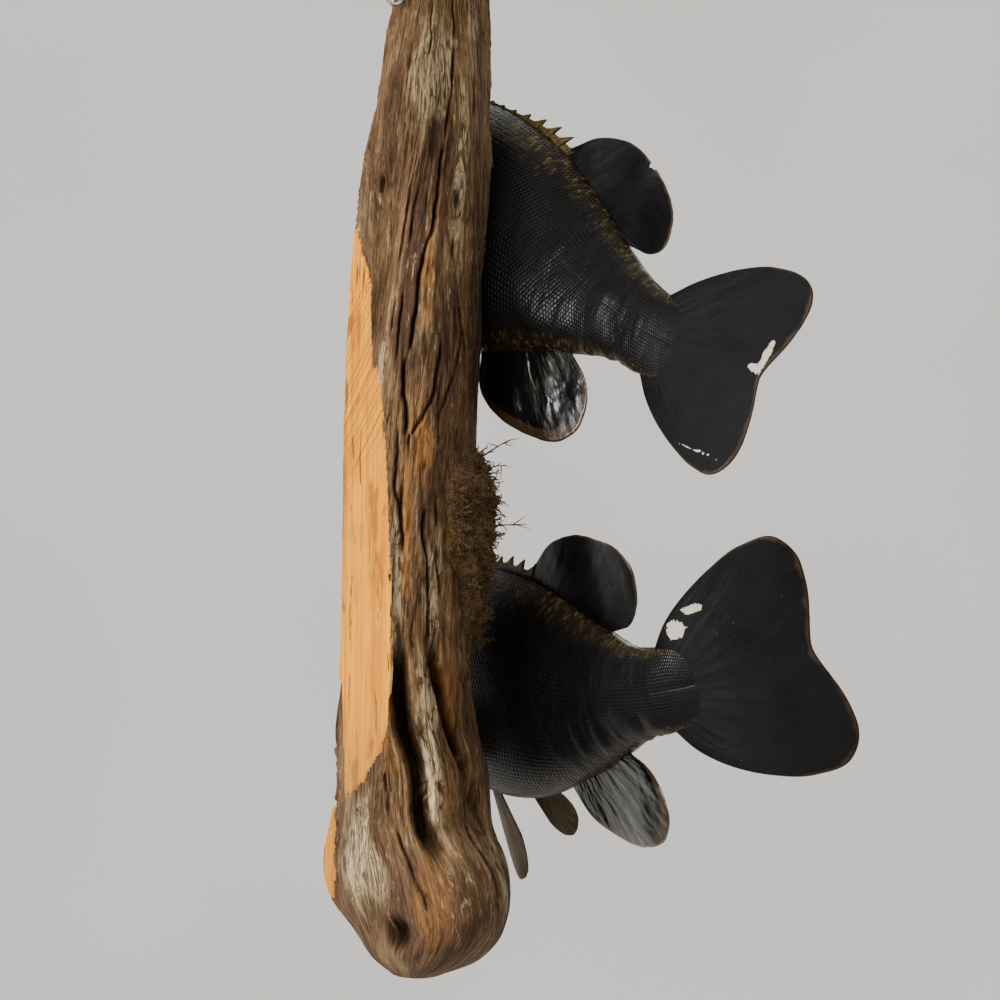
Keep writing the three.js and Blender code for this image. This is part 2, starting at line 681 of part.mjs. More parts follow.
const domeAt = (index, count) => Math.sin((Math.PI * (index + 0.35)) / (count - 0.3));

function mossPad() {
  const [rows, columns] = [9, 8];
  const [outer, inner] = [[], []];
  for (let r = 0; r < rows; r += 1) {
    const z = mix(MOSS.high, MOSS.low, r / (rows - 1));
    const [lineOut, lineIn] = [[], []];
    for (let c = 0; c < columns; c += 1) {
      const turn = mix(MOSS.from, MOSS.to, c / (columns - 1));
      const dome = (domeAt(r, rows) * domeAt(c, columns)) ** 0.6;
      const lump = 1 + 0.18 * Math.sin(r * 2.1 + c * 1.7);
      lineOut.push(woodPoint(z, turn, 1.5 + MOSS.thick * dome * lump));
      lineIn.push(woodPoint(z, turn, -4));
    }
    outer.push(lineOut);
    inner.push(lineIn);
  }
  return plate(outer, inner);
}

// ---------------------------------------------------------------- assembly

const finish = (color, roughness, metalness = 0) => new THREE.MeshStandardMaterial({ color, roughness, metalness });
const SKIN = finish(0x14161a, 0.25);
const FIN = finish(0x101214, 0.3);
const EYE = finish(0x3a2a10, 0.05);
const WOOD = finish(0x8f7358, 0.85);
const MOSS_BROWN = finish(0x5d421f, 0.95);
const STEEL = finish(0xa8a8a4, 0.35, 1);

const trophy = new THREE.Group();

function addNode(name, geometry, material) {
  const mesh = new THREE.Mesh(geometry, material);
  mesh.name = name;
  trophy.add(mesh);
}

const materialOf = (name) => (name.startsWith('eye') ? EYE : name.includes('fin') ? FIN : SKIN);

const lowerPose = mountedPose(LOWER_BASS);
for (const [name, solid] of Object.entries(bassNodes(LOWER_BASS))) {
  addNode(`bass_${name}`, posed(geometryFrom(solid), lowerPose), materialOf(name));
}
const upperPose = mountedPose(UPPER_BASS);
addNode('second_bass', posed(geometryFrom(bassInOnePiece(UPPER_BASS)), upperPose), SKIN);

// What the wood and the moss keep clear of: both bodies, a little swollen.
const bodyGap = (1.4 * PART_GAP) / BASS_LENGTH;
const lowerRoom = solidOf(posed(swollenSkin(DETAILED, bodyGap), lowerPose));
const upperRoom = solidOf(posed(swollenSkin(PLAIN, bodyGap), upperPose));
const upperAnalFin = solidOf(posed(middleFin(ANAL_FIN, UPPER_BASS.anal), upperPose));
const bodies = lowerRoom.add(upperRoom).add(roomAround(upperAnalFin));
const wallSide = solidOf(new THREE.BoxGeometry(2 * FAR, FAR, 3 * FAR).translate(0, FAR / 2, 0));

const wood = solidOf(woodSkin()).subtract(wallSide).subtract(bodies).subtract(solidOf(screwEye(PART_GAP)));
addNode('driftwood', geometryFrom(wood), WOOD);

const moss = solidOf(mossPad()).subtract(solidOf(woodSkin(PART_GAP))).subtract(bodies);
addNode('moss', geometryFrom(moss), MOSS_BROWN);
addNode('screw_eye', screwEye(0), STEEL);

export default trophy;
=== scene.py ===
# %% [markdown]
# # Two smallmouth bass on driftwood
#
# A wall trophy at life size. Two bass swim up across an upright piece of driftwood whose back is sawn flat.
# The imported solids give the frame: +Z is up, the wall is the plane Y = 0 and the trophy stands out to -Y.
# Every surface below is worked out with numpy on a grid of two parameters, in metres, in that same frame.

import bpy
import numpy as np
from mathutils import Matrix, Vector


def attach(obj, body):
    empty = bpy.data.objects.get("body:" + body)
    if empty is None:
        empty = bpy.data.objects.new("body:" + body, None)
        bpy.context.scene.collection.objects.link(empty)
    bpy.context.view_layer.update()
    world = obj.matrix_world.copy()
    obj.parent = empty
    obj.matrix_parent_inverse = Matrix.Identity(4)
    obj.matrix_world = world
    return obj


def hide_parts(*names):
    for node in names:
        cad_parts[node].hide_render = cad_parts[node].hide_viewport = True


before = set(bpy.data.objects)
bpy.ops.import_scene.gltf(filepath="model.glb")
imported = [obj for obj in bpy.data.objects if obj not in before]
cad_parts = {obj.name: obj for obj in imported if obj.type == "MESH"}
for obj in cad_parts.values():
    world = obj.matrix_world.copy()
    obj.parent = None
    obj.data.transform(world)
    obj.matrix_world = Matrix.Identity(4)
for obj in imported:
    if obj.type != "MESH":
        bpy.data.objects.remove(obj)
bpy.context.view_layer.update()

MM = 0.001

# %% [markdown]
# ## Tables, noise and meshes
#
# A taxidermist's form is carved from a few measured sections. Here a table plays that part: each row holds
# a place and the sizes there, and a smooth cubic runs through the rows. A little lattice noise gives wood,
# skin and moss their unevenness, always from the same seeds.


# %% Curves through tables
def along(table, t):
    """The columns of a table at t, by a cubic as steep at each row as the line between its neighbours."""
    rows = np.asarray(table, float)
    if rows[0, 0] > rows[-1, 0]:
        rows = rows[::-1]
    knots, values = rows[:, 0], rows[:, 1:]
    last = len(knots) - 1
    x = np.clip(np.asarray(t, float), knots[0], knots[-1])
    i = np.clip(np.searchsorted(knots, x) - 1, 0, last - 1)
    order = np.arange(last + 1)
    after, before = np.minimum(order + 1, last), np.maximum(order - 1, 0)
    slopes = (values[after] - values[before]) / (knots[after] - knots[before])[:, None]
    span = knots[i + 1] - knots[i]
    s, span = ((x - knots[i]) / span)[..., None], span[..., None]
    start = (1 + 2 * s) * (1 - s) ** 2 * values[i] + s * (1 - s) ** 2 * span * slopes[i]
    end = s * s * (3 - 2 * s) * values[i + 1] + s * s * (s - 1) * span * slopes[i + 1]
    return start + end


def ease(low, high, t):
    """0 below low, 1 above high, and a smooth step between them."""
    s = np.clip((np.asarray(t, float) - low) / (high - low), 0, 1)
    return s * s * (3 - 2 * s)


def bump(distance, width, power=2):
    """A hill of height 1 that falls off as exp(-|distance / width| ^ power)."""
    return np.exp(-np.abs(np.asarray(distance) / width) ** power)


def mix(a, b, t):
    """From a at t = 0 to b at t = 1."""
    return a + (b - a) * t


def unit(v):
    """Vectors at length 1."""
    return v / np.maximum(np.linalg.norm(v, axis=-1, keepdims=True), 1e-12)


# %% Noise
def value_noise(points, seed):
    """Random numbers 0 to 1 at the corners of a unit lattice, blended by smooth steps between them."""
    table = np.random.default_rng(seed).random(4096)
    cell = np.floor(points).astype(np.int64)
    f = points - cell
    f = f * f * (3 - 2 * f)
    total = 0
    for corner in np.ndindex(2, 2, 2):
        x, y, z = (cell[..., k] + corner[k] for k in range(3))
        weight = np.prod([f[..., k] if corner[k] else 1 - f[..., k] for k in range(3)], axis=0)
        total = total + weight * table[(x * 73856093 ^ y * 19349663 ^ z * 83492791) & 4095]
    return total


def fractal(points, octaves, seed):
    """Octaves of noise, each at twice the pitch and half the strength, from -1 to 1."""
    total, strength = 0, 0
    for k in range(octaves):
        total = total + 0.5**k * (2 * value_noise(points * 2**k, seed + k) - 1)
        strength += 0.5**k
    return total / strength


def stack(*columns):
    """Columns, or single numbers, side by side in a new last axis."""
    return np.stack(np.broadcast_arrays(*columns), axis=-1)


# %% Meshes from grids
def grid_faces(rows, columns, wrap=False, offset=0):
    """Quads between neighbours of a grid of rows x columns. With wrap the last column joins the first."""
    r, c = np.meshgrid(np.arange(rows - 1), np.arange(columns if wrap else columns - 1), indexing="ij")
    d = (c + 1) % columns
    quads = stack(r * columns + c, r * columns + d, (r + 1) * columns + d, (r + 1) * columns + c)
    return quads.reshape(-1, 4) + offset


def capped_faces(rows, columns):
    """Quads of a wrapped grid, and fans from its first and last row to two poles that follow its points."""
    k, last = np.arange(columns), (rows - 1) * columns
    after = (k + 1) % columns
    fans = [stack(rows * columns, after, k), stack(rows * columns + 1, last + k, last + after)]
    return [grid_faces(rows, columns, wrap=True), np.concatenate(fans)]


def capped(grid):
    """A wrapped grid's points and faces, with a pole in the middle of its first and last row."""
    poles = np.stack([grid[0].mean(0), grid[-1].mean(0)])
    points = np.concatenate([grid.reshape(-1, 3), poles])
    return points, all_turned_out(points, capped_faces(*grid.shape[:2]))


def plate_faces(rows, columns):
    """A closed plate: two like grids, the second turned over, and a wall round their edges."""
    front = grid_faces(rows, columns)
    back = grid_faces(rows, columns, offset=rows * columns)[:, ::-1]
    index = np.arange(rows * columns).reshape(rows, columns)
    edge = np.concatenate([index[0, :-1], index[:-1, -1], index[-1, :0:-1], index[:0:-1, 0]])
    after = np.roll(edge, -1)
    wall = stack(after, edge, edge + rows * columns, after + rows * columns)
    return np.concatenate([front, back, wall])


def polar_grid(outs, columns):
    """Angles from an axis and turns about it, as two grids of rows x columns."""
    return np.meshgrid(outs, np.linspace(0, 2 * np.pi, columns, endpoint=False), indexing="ij")


def six_volumes(points, faces):
    """Six times the volume between the faces and the origin: positive if they point away from it."""
    a, b, c = (points[faces[:, k]] for k in range(3))
    volume = np.einsum("ij,ij->i", a, np.cross(b, c)).sum()
    if faces.shape[1] == 4:
        d = points[faces[:, 3]]
        volume += np.einsum("ij,ij->i", a, np.cross(c, d)).sum()
    return volume


def all_turned_out(points, groups):
    """Groups of faces, all turned round if the mesh that they close encloses a negative volume."""
    if sum(six_volumes(points, faces) for faces in groups) < 0:
        return [faces[:, ::-1] for faces in groups]
    return groups


def turned_out(points, faces):
    """The faces of a closed mesh, pointing outwards."""
    return all_turned_out(points, [faces])[0]


def make_piece(name, points, faces, attributes=(), smooth=True):
    """A mesh object from points and lists of quads or triangles, at the origin, riding on the body."""
    faces = faces if isinstance(faces, list) else [faces]
    mesh = bpy.data.meshes.new(name)
    corners = np.concatenate([f.ravel() for f in faces])
    sizes = np.concatenate([np.full(len(f), f.shape[1]) for f in faces])
    mesh.vertices.add(len(points))
    mesh.vertices.foreach_set("co", np.asarray(points, np.float32).ravel())
    mesh.loops.add(len(corners))
    mesh.loops.foreach_set("vertex_index", corners.astype(np.int32))
    mesh.polygons.add(len(sizes))
    mesh.polygons.foreach_set("loop_start", np.concatenate([[0], np.cumsum(sizes)[:-1]]).astype(np.int32))
    mesh.polygons.foreach_set("use_smooth", np.full(len(sizes), smooth))
    mesh.update(calc_edges=True)
    for key, values in dict(attributes).items():
        values = np.asarray(values, np.float32)
        kind = "FLOAT_VECTOR" if values.ndim == 2 else "FLOAT"
        layer = mesh.attributes.new(key, kind, "POINT")
        layer.data.foreach_set("vector" if values.ndim == 2 else "value", values.ravel())
    mesh.validate()
    piece = bpy.data.objects.new(name, mesh)
    bpy.context.scene.collection.objects.link(piece)
    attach(piece, "root")
    triangles = int(sum(len(f) * (f.shape[1] - 2) for f in faces))
    print(f"{name}: {len(points)} points, {triangles} triangles")
    return piece


# %% [markdown]
# ## The straight fish
#
# A fish is easiest to describe straight: nose at the origin, tail towards -X, its left side towards +Y.
# Places on it are shares of its length. Rings of the skin run from the root of the tail to the neck, and
# then slide forward until they lie along the lips, so that one grid covers the body, the jaws and, turned
# inwards at the lips, the lining of the mouth.

# %% Sizes of a bass
LENGTH = 0.410  # nose to the root of the tail fin, in metres; the sizes below are shares of it
NECK = 0.19
MOUTH_CORNER = (0.124, -0.056)
JAW_JOINT = (0.16, -0.05)
JAW_GAPE = np.radians(15)
CHIN_LEAD = 0.01  # how far the chin stands out before the nose
SNOUT = 0.03  # where the rounding of the snout ends
STALK_TIP = 0.06
STALK_THINS = (0.93, 1.045)
STALK_TIP_HALF = 0.0016
EYE_PLACE = (0.122, 0.025)
EYE_RADIUS = 0.024
EYE_BULGE = 0.005
COAT_DEPTH = 0.5 * MM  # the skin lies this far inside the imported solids, and the scales stand on it

# share of the length, height above the axis, depth below it, half width
BODY = [
    (0.0, 0.006, 0.018, 0.014),
    (0.01, 0.018, 0.029, 0.029),
    (0.03, 0.032, 0.042, 0.041),
    (0.07, 0.053, 0.062, 0.054),
    (0.12, 0.073, 0.084, 0.064),
    (0.2, 0.106, 0.115, 0.078),
    (0.3, 0.138, 0.144, 0.088),
    (0.4, 0.16, 0.162, 0.091),
    (0.5, 0.167, 0.167, 0.088),
    (0.6, 0.159, 0.157, 0.08),
    (0.7, 0.131, 0.125, 0.064),
    (0.8, 0.09, 0.086, 0.044),
    (0.88, 0.064, 0.063, 0.031),
    (0.95, 0.057, 0.057, 0.021),
    (1.0, 0.061, 0.061, 0.015),
]


def fish_point(u, y, z):
    """A point of the straight fish from shares of its length."""
    return stack(-np.asarray(u) * LENGTH, np.asarray(y) * LENGTH, np.asarray(z) * LENGTH)


def section_width(z, top, bottom):
    """Half width at height z as a share of the widest: a narrow back over a full belly."""
    c = np.minimum(1, np.where(z >= 0, z / np.maximum(top, 1e-6), -z / np.maximum(bottom, 1e-6)))
    return np.where(z >= 0, np.maximum(1 - c**2, 0) ** 0.62, np.maximum(1 - c**2.6, 0) ** 0.5)


def mouth_line(u):
    """Height of the line where the closed jaws meet."""
    return MOUTH_CORNER[1] * np.clip(u / MOUTH_CORNER[0], 0, 1)


def open_jaw(u, z, share):
    """Turns (u, z) about the jaw joint by a share of the gape."""
    turn = JAW_GAPE * share
    du, dz = u - JAW_JOINT[0], z - JAW_JOINT[1]
    u_open = JAW_JOINT[0] + du * np.cos(turn) - dz * np.sin(turn)
    return u_open, JAW_JOINT[1] + du * np.sin(turn) + dz * np.cos(turn)


# %% The rings of the skin
def body_outline(u, below):
    """Height, depth and half width of the body at u. Before SNOUT they shrink as a root, for a round snout.

    below is true on the lower jaw, which starts further forward by CHIN_LEAD.
    """
    top, bottom, half = np.moveaxis(along(BODY, u), -1, 0)
    lead = np.where(below, CHIN_LEAD, 0)
    snout = np.clip((u + lead) / (SNOUT + lead), 0, 1)
    snout_top, snout_bottom, snout_half = along(BODY, SNOUT)
    rounded = (snout_top * snout**0.5, snout_bottom * snout**0.5, snout_half * snout**0.4)
    return tuple(np.where(u < SNOUT, small, full) for small, full in zip(rounded, (top, bottom, half)))


def skin_surface(ring, angle):
    """The bare skin at ring 0 (tail) to 1 (neck) to 2 (lips), at an angle from the back round the left side.

    Gives the point, and the place (u, z) that it has on a fish with its mouth closed. Below ring 0 the
    stalk's end narrows in an S-curve until it lies on the tail fin.
    """
    ring, angle = np.broadcast_arrays(np.asarray(ring, float), np.asarray(angle, float))
    c, side = np.cos(angle), np.sign(np.round(np.sin(angle), 9))
    t = np.clip(ring - 1, 0, 1)
    rim = MOUTH_CORNER[0] - (MOUTH_CORNER[0] + np.where(c < 0, CHIN_LEAD, 0)) * np.abs(c) ** 1.5
    u = np.where(ring <= 1, mix(1.0, NECK, ring), mix(NECK, rim, t))
    top, bottom, half = body_outline(u, c < 0)
    thinned = ease(*STALK_THINS, u)
    half = mix(half, STALK_TIP_HALF, thinned)
    top, bottom = (reach * (1 - 0.16 * thinned - 0.3 * ease(1.0, 1.06, u)) for reach in (top, bottom))
    middle = t * mouth_line(u)
    reach = np.where(t < 1, np.abs(c) ** (1 / np.maximum(1 - t, 1e-3)), 0)
    z = middle + (np.where(c >= 0, top, -bottom) - middle) * reach
    width = half * section_width(z, top, bottom) * side
    share = np.where(np.abs(c) < 1e-6, 0.5, c < 0) * ease(0.25, 0.85, t)
    u_open, z_open = open_jaw(u, z, share)
    return fish_point(u_open, width, z_open), u, z


# %% [markdown]
# ### Relief of the head
#
# The plates of the head lie over each other like slates: the flap of the gill cover over the shoulder, the
# cheek's edge over the gill cover, the broad upper jaw bone over the cheek. Each edge is a line of a few
# points seen from the side. How far a place lies in front of or behind the line gives a step and a groove.

# %% Distances to lines
def line_distance(line, u, z):
    """Signed distance from (u, z) to a run of segments, positive on the left of their direction."""
    best, sign = np.full(np.shape(u), 9.0), np.ones(np.shape(u))
    for (u0, z0), (u1, z1) in zip(line[:-1], line[1:]):
        du, dz = u1 - u0, z1 - z0
        s = np.clip(((u - u0) * du + (z - z0) * dz) / (du * du + dz * dz), 0, 1)
        distance = np.hypot(u - u0 - s * du, z - z0 - s * dz)
        side = np.sign(du * (z - z0) - dz * (u - u0))
        nearer = distance < best
        best, sign = np.where(nearer, distance, best), np.where(nearer, side, sign)
    return best * sign


def curve(points, count=24):
    """Points at equal steps of arc along a smooth centripetal curve through the given ones."""
    p = np.asarray(points, float)
    p = np.concatenate([[2 * p[0] - p[1]], p, [2 * p[-1] - p[-2]]])
    gaps = np.maximum(np.linalg.norm(np.diff(p, axis=0), axis=1) ** 0.5, 1e-4)
    pieces = []
    for i in range(1, len(p) - 2):
        a, b, c = gaps[i - 1 : i + 2]
        start = ((p[i] - p[i - 1]) / a - (p[i + 1] - p[i - 1]) / (a + b) + (p[i + 1] - p[i]) / b) * b
        end = ((p[i + 1] - p[i]) / b - (p[i + 2] - p[i]) / (b + c) + (p[i + 2] - p[i + 1]) / c) * b
        s = np.linspace(0, 1, 40, endpoint=False)[:, None]
        cubic = (2 * s**3 - 3 * s**2 + 1) * p[i] + (s**3 - 2 * s**2 + s) * start
        pieces.append(cubic + (3 * s**2 - 2 * s**3) * p[i + 1] + (s**3 - s**2) * end)
    fine = np.concatenate([*pieces, p[-2:-1]])
    walked = np.concatenate([[0], np.cumsum(np.linalg.norm(np.diff(fine, axis=0), axis=1))])
    stops = np.linspace(0, walked[-1], count)
    return np.stack([np.interp(stops, walked, fine[:, k]) for k in range(fine.shape[1])], axis=-1)


# Lines of the head, as (share of the length, height).
GILL_EDGE = curve([(0.262, 0.078), (0.305, 0.07), (0.345, 0.05), (0.364, 0.024), (0.352, -0.012),
                   (0.33, -0.055), (0.292, -0.098), (0.24, -0.122), (0.18, -0.118)], 40)
CHEEK_EDGE = curve([(0.2, 0.062), (0.22, 0.04), (0.231, 0.0), (0.228, -0.036), (0.208, -0.064),
                    (0.178, -0.077), (0.14, -0.083)], 30)
UNDER_COVER = curve([(0.233, -0.05), (0.27, -0.062), (0.31, -0.058), (0.345, -0.034)], 16)
JAW_PLATE = curve([(0.012, 0.003), (0.05, -0.004), (0.09, -0.014), (0.122, -0.022), (0.138, -0.034),
                   (0.14, -0.052), (0.128, -0.066)], 30)
JAW_BONE = curve([(0.0, -0.016), (0.04, -0.034), (0.09, -0.054), (0.14, -0.075)], 16)
THROAT_FOLDS = [curve([(0.13 + 0.012 * k, -0.09 - 0.007 * k), (0.19 + 0.012 * k, -0.098 - 0.007 * k),
                       (0.25 + 0.008 * k, -0.085 - 0.009 * k)], 12) for k in range(4)]
NOSTRILS = ((0.066, 0.036), (0.079, 0.042))


def step_at(distance, high, soft, fade):
    """A plate that stands high at its edge (distance 0) and sinks to nothing over fade in front of it."""
    return high * ease(-soft, 0, distance) * np.exp(-np.maximum(distance, 0) / fade)


def head_relief(u, z):
    """Height of the head's plates, folds and sockets over the plain skin, in metres."""
    gill = -line_distance(GILL_EDGE, u, z)
    high = 1 - ease(0.06, 0.085, z)
    relief = step_at(gill, 2.6 * MM, 0.003, 0.09) * high
    relief = relief - 1.3 * MM * bump(gill + 0.005, 0.004) * high
    cheek = -line_distance(CHEEK_EDGE, u, z)
    near_cheek = bump(np.maximum(u - 0.26, 0), 0.02) * (1 - ease(0.035, 0.062, z)) * ease(0.13, 0.16, u - z)
    relief = relief + step_at(cheek, 1.5 * MM, 0.003, 0.05) * near_cheek
    relief = relief - 0.8 * MM * bump(cheek + 0.004, 0.003) * near_cheek
    relief = relief - 0.9 * MM * bump(line_distance(UNDER_COVER, u, z), 0.0025)
    plate = -line_distance(JAW_PLATE, u, z)
    on_upper_jaw = np.maximum(z >= mouth_line(u), u > MOUTH_CORNER[0])
    on_upper_jaw = on_upper_jaw * ease(0.0, 0.035, u) * (1 - ease(0.13, 0.15, u))
    jaw_edge = 1.5 * MM * ease(-0.002, 0.002, plate) - 0.7 * MM * bump(plate + 0.003, 0.0025)
    relief = relief + jaw_edge * on_upper_jaw
    relief = relief - 0.8 * MM * bump(line_distance(JAW_BONE, u, z), 0.0035) * ease(0.0, 0.04, u)
    for fold in THROAT_FOLDS:
        relief = relief - 0.7 * MM * bump(line_distance(fold, u, z), 0.0028)
    for place in NOSTRILS:
        r = np.hypot(u - place[0], z - place[1])
        relief = relief + 0.5 * MM * bump(r - 0.0055, 0.0022) - 1.8 * MM * bump(r, 0.0034, 4)
    r = np.hypot(u - EYE_PLACE[0], z - EYE_PLACE[1])
    relief = relief + 0.9 * MM * bump(r - 0.0275, 0.005) - 4.6 * MM * (1 - ease(0.0195, 0.0255, r))
    brow = bump(z - EYE_PLACE[1] - 0.031, 0.008) * bump(u - EYE_PLACE[0], 0.035, 4)
    return relief + 1.2 * MM * brow


LATERAL_LINE = [(0.3, 0.052), (0.4, 0.064), (0.5, 0.062), (0.62, 0.046), (0.72, 0.026), (0.82, 0.009),
                (1.0, 0.0)]


def lateral_line(u):
    """Height of the lateral line: an arch over the flank that comes down to the middle of the tail."""
    return along(LATERAL_LINE, u)[..., 0]


# %% [markdown]
# ### From straight to mounted
#
# The mounted fish bends round a spine. A table turns the spine away from the wall (yaw), points it down
# towards the tail (pitch) and leans the back towards the wall (roll). Steps along the spine from one pinned
# place give its centre line, and every point of the straight fish is carried onto the frame of its share.

# %% The two spines
LOWER_BASS = {
    "pin": (0.65, (0.02, -0.112, -0.114)),
    "spine": [(0.0, -10, 6, 4), (0.35, -5, 4, 14), (0.62, 15, 6, 13), (0.72, 16, 6, 15), (0.82, 8, 2, 12),
              (0.93, 6, 0, 14), (1.0, 26, -7, 13), (1.1, 44, -14, 9), (1.2, 49, -17, 9)],
    "tail": (0.955, 0.96, 0.975),
    "dorsal": (0.66, 1.08),
    "anal": (0.03, 0.94),
    "pectoral": ((-0.85, 0.7, 0.1), (-0.55, 0.7, -0.95)),
    "chips": [(1.008, 0.070, 0.016, 0.012), (1.043, 0.090, 0.016, 0.006)],
}
UPPER_BASS = {
    "pin": (0.65, (-0.006, -0.088, 0.123)),
    "spine": [(0.0, -10, 33, -6), (0.35, -5, 31, -3), (0.62, 18, 29, -12), (0.74, 27, 27, -15),
              (0.84, 21, 27, -10), (0.93, 9, 28, -10), (1.0, 17, 24, -9), (1.1, 22, 20, -12),
              (1.2, 24, 26, -14)],
    "tail": (0.85, 0.875, 1.0),
    "dorsal": (0.2, 0.8),
    "anal": (-0.06, 0.9),
    "pectoral": ((-0.45, 0.12, -0.4), (0.05, 0.2, -1)),
    "chips": [(1.181, 0.024, 0.006, 0.022), (1.172, 0.006, 0.012, 0.005), (0.795, 0.188, 0.012, 0.005),
              (1.14, -0.1125, 0.05, 0.0012)],
}
SPINE_SHARES = np.linspace(-0.2, 1.5, 851)


def spine_frame(spine, share):
    """The directions tailwards, to the fish's left and up at a share of the spine."""
    yaw, pitch, roll = np.moveaxis(np.radians(along(spine, share)), -1, 0)
    tailward = -stack(np.cos(pitch) * np.cos(yaw), np.cos(pitch) * np.sin(yaw), np.sin(pitch))
    level = stack(-np.sin(yaw), np.cos(yaw), 0 * yaw)
    upright = np.cross(-tailward, level)
    cos, sin = np.cos(roll)[..., None], np.sin(roll)[..., None]
    return tailward, level * cos - upright * sin, upright * cos + level * sin


def spine_centres(bass):
    """The centre line at SPINE_SHARES: the sum of the steps tailwards, moved so that the pin is in place."""
    pinned, place = bass["pin"]
    middles = (SPINE_SHARES[1:] + SPINE_SHARES[:-1]) / 2
    steps = spine_frame(bass["spine"], middles)[0] * np.diff(SPINE_SHARES)[:, None] * LENGTH
    line = np.concatenate([np.zeros((1, 3)), np.cumsum(steps, axis=0)])
    at_pin = [np.interp(pinned, SPINE_SHARES, line[:, k]) for k in range(3)]
    return line - at_pin + place


def mounted(points, bass):
    """Carries points of the straight fish onto its bent spine."""
    share = -points[..., 0] / LENGTH
    centres = spine_centres(bass)
    centre = stack(*(np.interp(share, SPINE_SHARES, centres[:, k]) for k in range(3)))
    _, left, up = spine_frame(bass["spine"], share)
    return centre + left * points[..., 1:2] + up * points[..., 2:3]


for label, bass in (("lower", LOWER_BASS), ("upper", UPPER_BASS)):
    nose, tail = mounted(fish_point(np.array([0, 1.2]), 0, 0), bass)
    print(label, "nose", np.round(nose, 3), "tail", np.round(tail, 3))

# %% [markdown]
# ## The skin
#
# A skin mount is one hide pulled over a form. It could be modelled part by part and blended, but a seam would
# show wherever two parts meet. One grid that runs from the tail to the lips and on into the mouth has none.
# The rings lie closer together where the head's plates need sharp edges.

# %% Points of the skin, with its relief
BODY_RINGS = np.concatenate([
    np.linspace(-STALK_TIP, 0, 12)[:-1],
    np.linspace(0, 0.74, 92)[:-1],
    np.linspace(0.74, 1.0, 104)[:-1],
    np.linspace(1.0, 2.0, 118),
])
COLUMNS = 240
ROUND = np.arange(COLUMNS) * 2 * np.pi / COLUMNS
LINE_GROOVE = 0.25 * MM
HIDE_RIPPLE = 1.25 * MM  # where the dried hide of the stalk has puckered, mostly on the wall side
STALK_SWELL, SWELL_PLACE, SWELL_REACH = 2.2 * MM, (0.875, 0.01), (0.030, 0.05)


def skin_points(ring, angle):
    """Points of the straight fish's finished skin, their normals, and their place with the mouth closed."""
    step, tilt = 1e-3, 4e-3
    bare, u, z = skin_surface(ring, angle)
    ahead = skin_surface(np.minimum(ring + step, 2 - step / 9), angle)[0]
    behind = skin_surface(np.minimum(ring, 2 - step / 9) - step, angle)[0]
    round_it = skin_surface(ring, angle + tilt)[0] - skin_surface(ring, angle - tilt)[0]
    normals = unit(np.cross(ahead - behind, round_it))
    normals[..., 1] = np.where(np.abs(bare[..., 1]) < 1e-9, 0, normals[..., 1])
    line = bump(z - lateral_line(u), 0.0035) * ease(0.3, 0.4, u)
    height = head_relief(u, z) - COAT_DEPTH - LINE_GROOVE * line
    wall_side = bare[..., 1] > 0
    puckers = fractal(stack(u * 46, z * 16, np.sign(bare[..., 1])), 3, 640)
    puckers = puckers * ease(0.66, 0.78, u) * (1 - ease(0.93, 1.0, u))
    height = height + HIDE_RIPPLE * puckers * np.where(wall_side, 1, 0.25)
    off = np.hypot((u - SWELL_PLACE[0]) / SWELL_REACH[0], (z - SWELL_PLACE[1]) / SWELL_REACH[1])
    height = height + STALK_SWELL * bump(off, 1) * wall_side
    return bare + unit(normals) * height[..., None], unit(normals), u, z


# %% The lips and the lining of the mouth
THROAT = fish_point(0.185, 0, -0.045)
LIP = 0.014 * LENGTH


def inner_edge(lips):
    """The line inside the lips: back by LIP at the front, inwards by LIP at the sides."""
    back = LIP * np.abs(np.cos(ROUND))
    inwards = np.sign(lips[:, 1]) * np.minimum(LIP, np.abs(lips[:, 1]) * 0.999)
    return lips - stack(back, inwards, 0.0)


def mouth_lining(lips):
    """Rings from the lips over their rounded inner edge (a half ellipse) and on to the closed throat."""
    c = np.cos(ROUND)[:, None]
    inner = inner_edge(lips)
    lip_fade = ease(0.0, 0.35, np.abs(c)) * (1 - 0.6 * ease(0.9, 1.0, np.abs(c)))
    rings = []
    for turn in np.linspace(0, np.pi, 12)[1:]:
        bulge = -np.sign(c) * 1.1 * MM * np.sin(turn) * lip_fade
        rings.append(mix(lips, inner, (1 - np.cos(turn)) / 2) + bulge * [0, 0, 1])
    for q in np.linspace(0, 1, 26)[1:]:
        x = mix(inner[:, 0], THROAT[0], q)
        y = inner[:, 1] * (1 - 0.7 * q**2)
        arch = np.sin(np.pi * min(q + 0.2, 1)) - np.sin(0.2 * np.pi) * (1 - q)
        hollow = 0.006 * LENGTH * np.sign(c[:, 0]) * arch
        z = mix(inner[:, 2], THROAT[2] + 0.012 * LENGTH * c[:, 0], q**0.8) + hollow * ease(0, 0.2, q)
        rings.append(stack(x, y, z))
    return np.stack(rings)


def zip_ring(start, columns):
    """Closes a flat ring of points by strips between its left and right halves."""
    k = np.arange(1, columns // 2 - 1)
    quads = stack(k, k + 1, columns - k - 1, columns - k) + start
    ends = np.array([[0, 1, columns - 1], [columns // 2 - 1, columns // 2, columns // 2 + 1]]) + start
    return quads, ends


def share_round(angle):
    """How far round from the back an angle is, up to 1 at the keel on the left and to -1 on the right."""
    return np.where(angle <= np.pi, angle, angle - 2 * np.pi) / np.pi


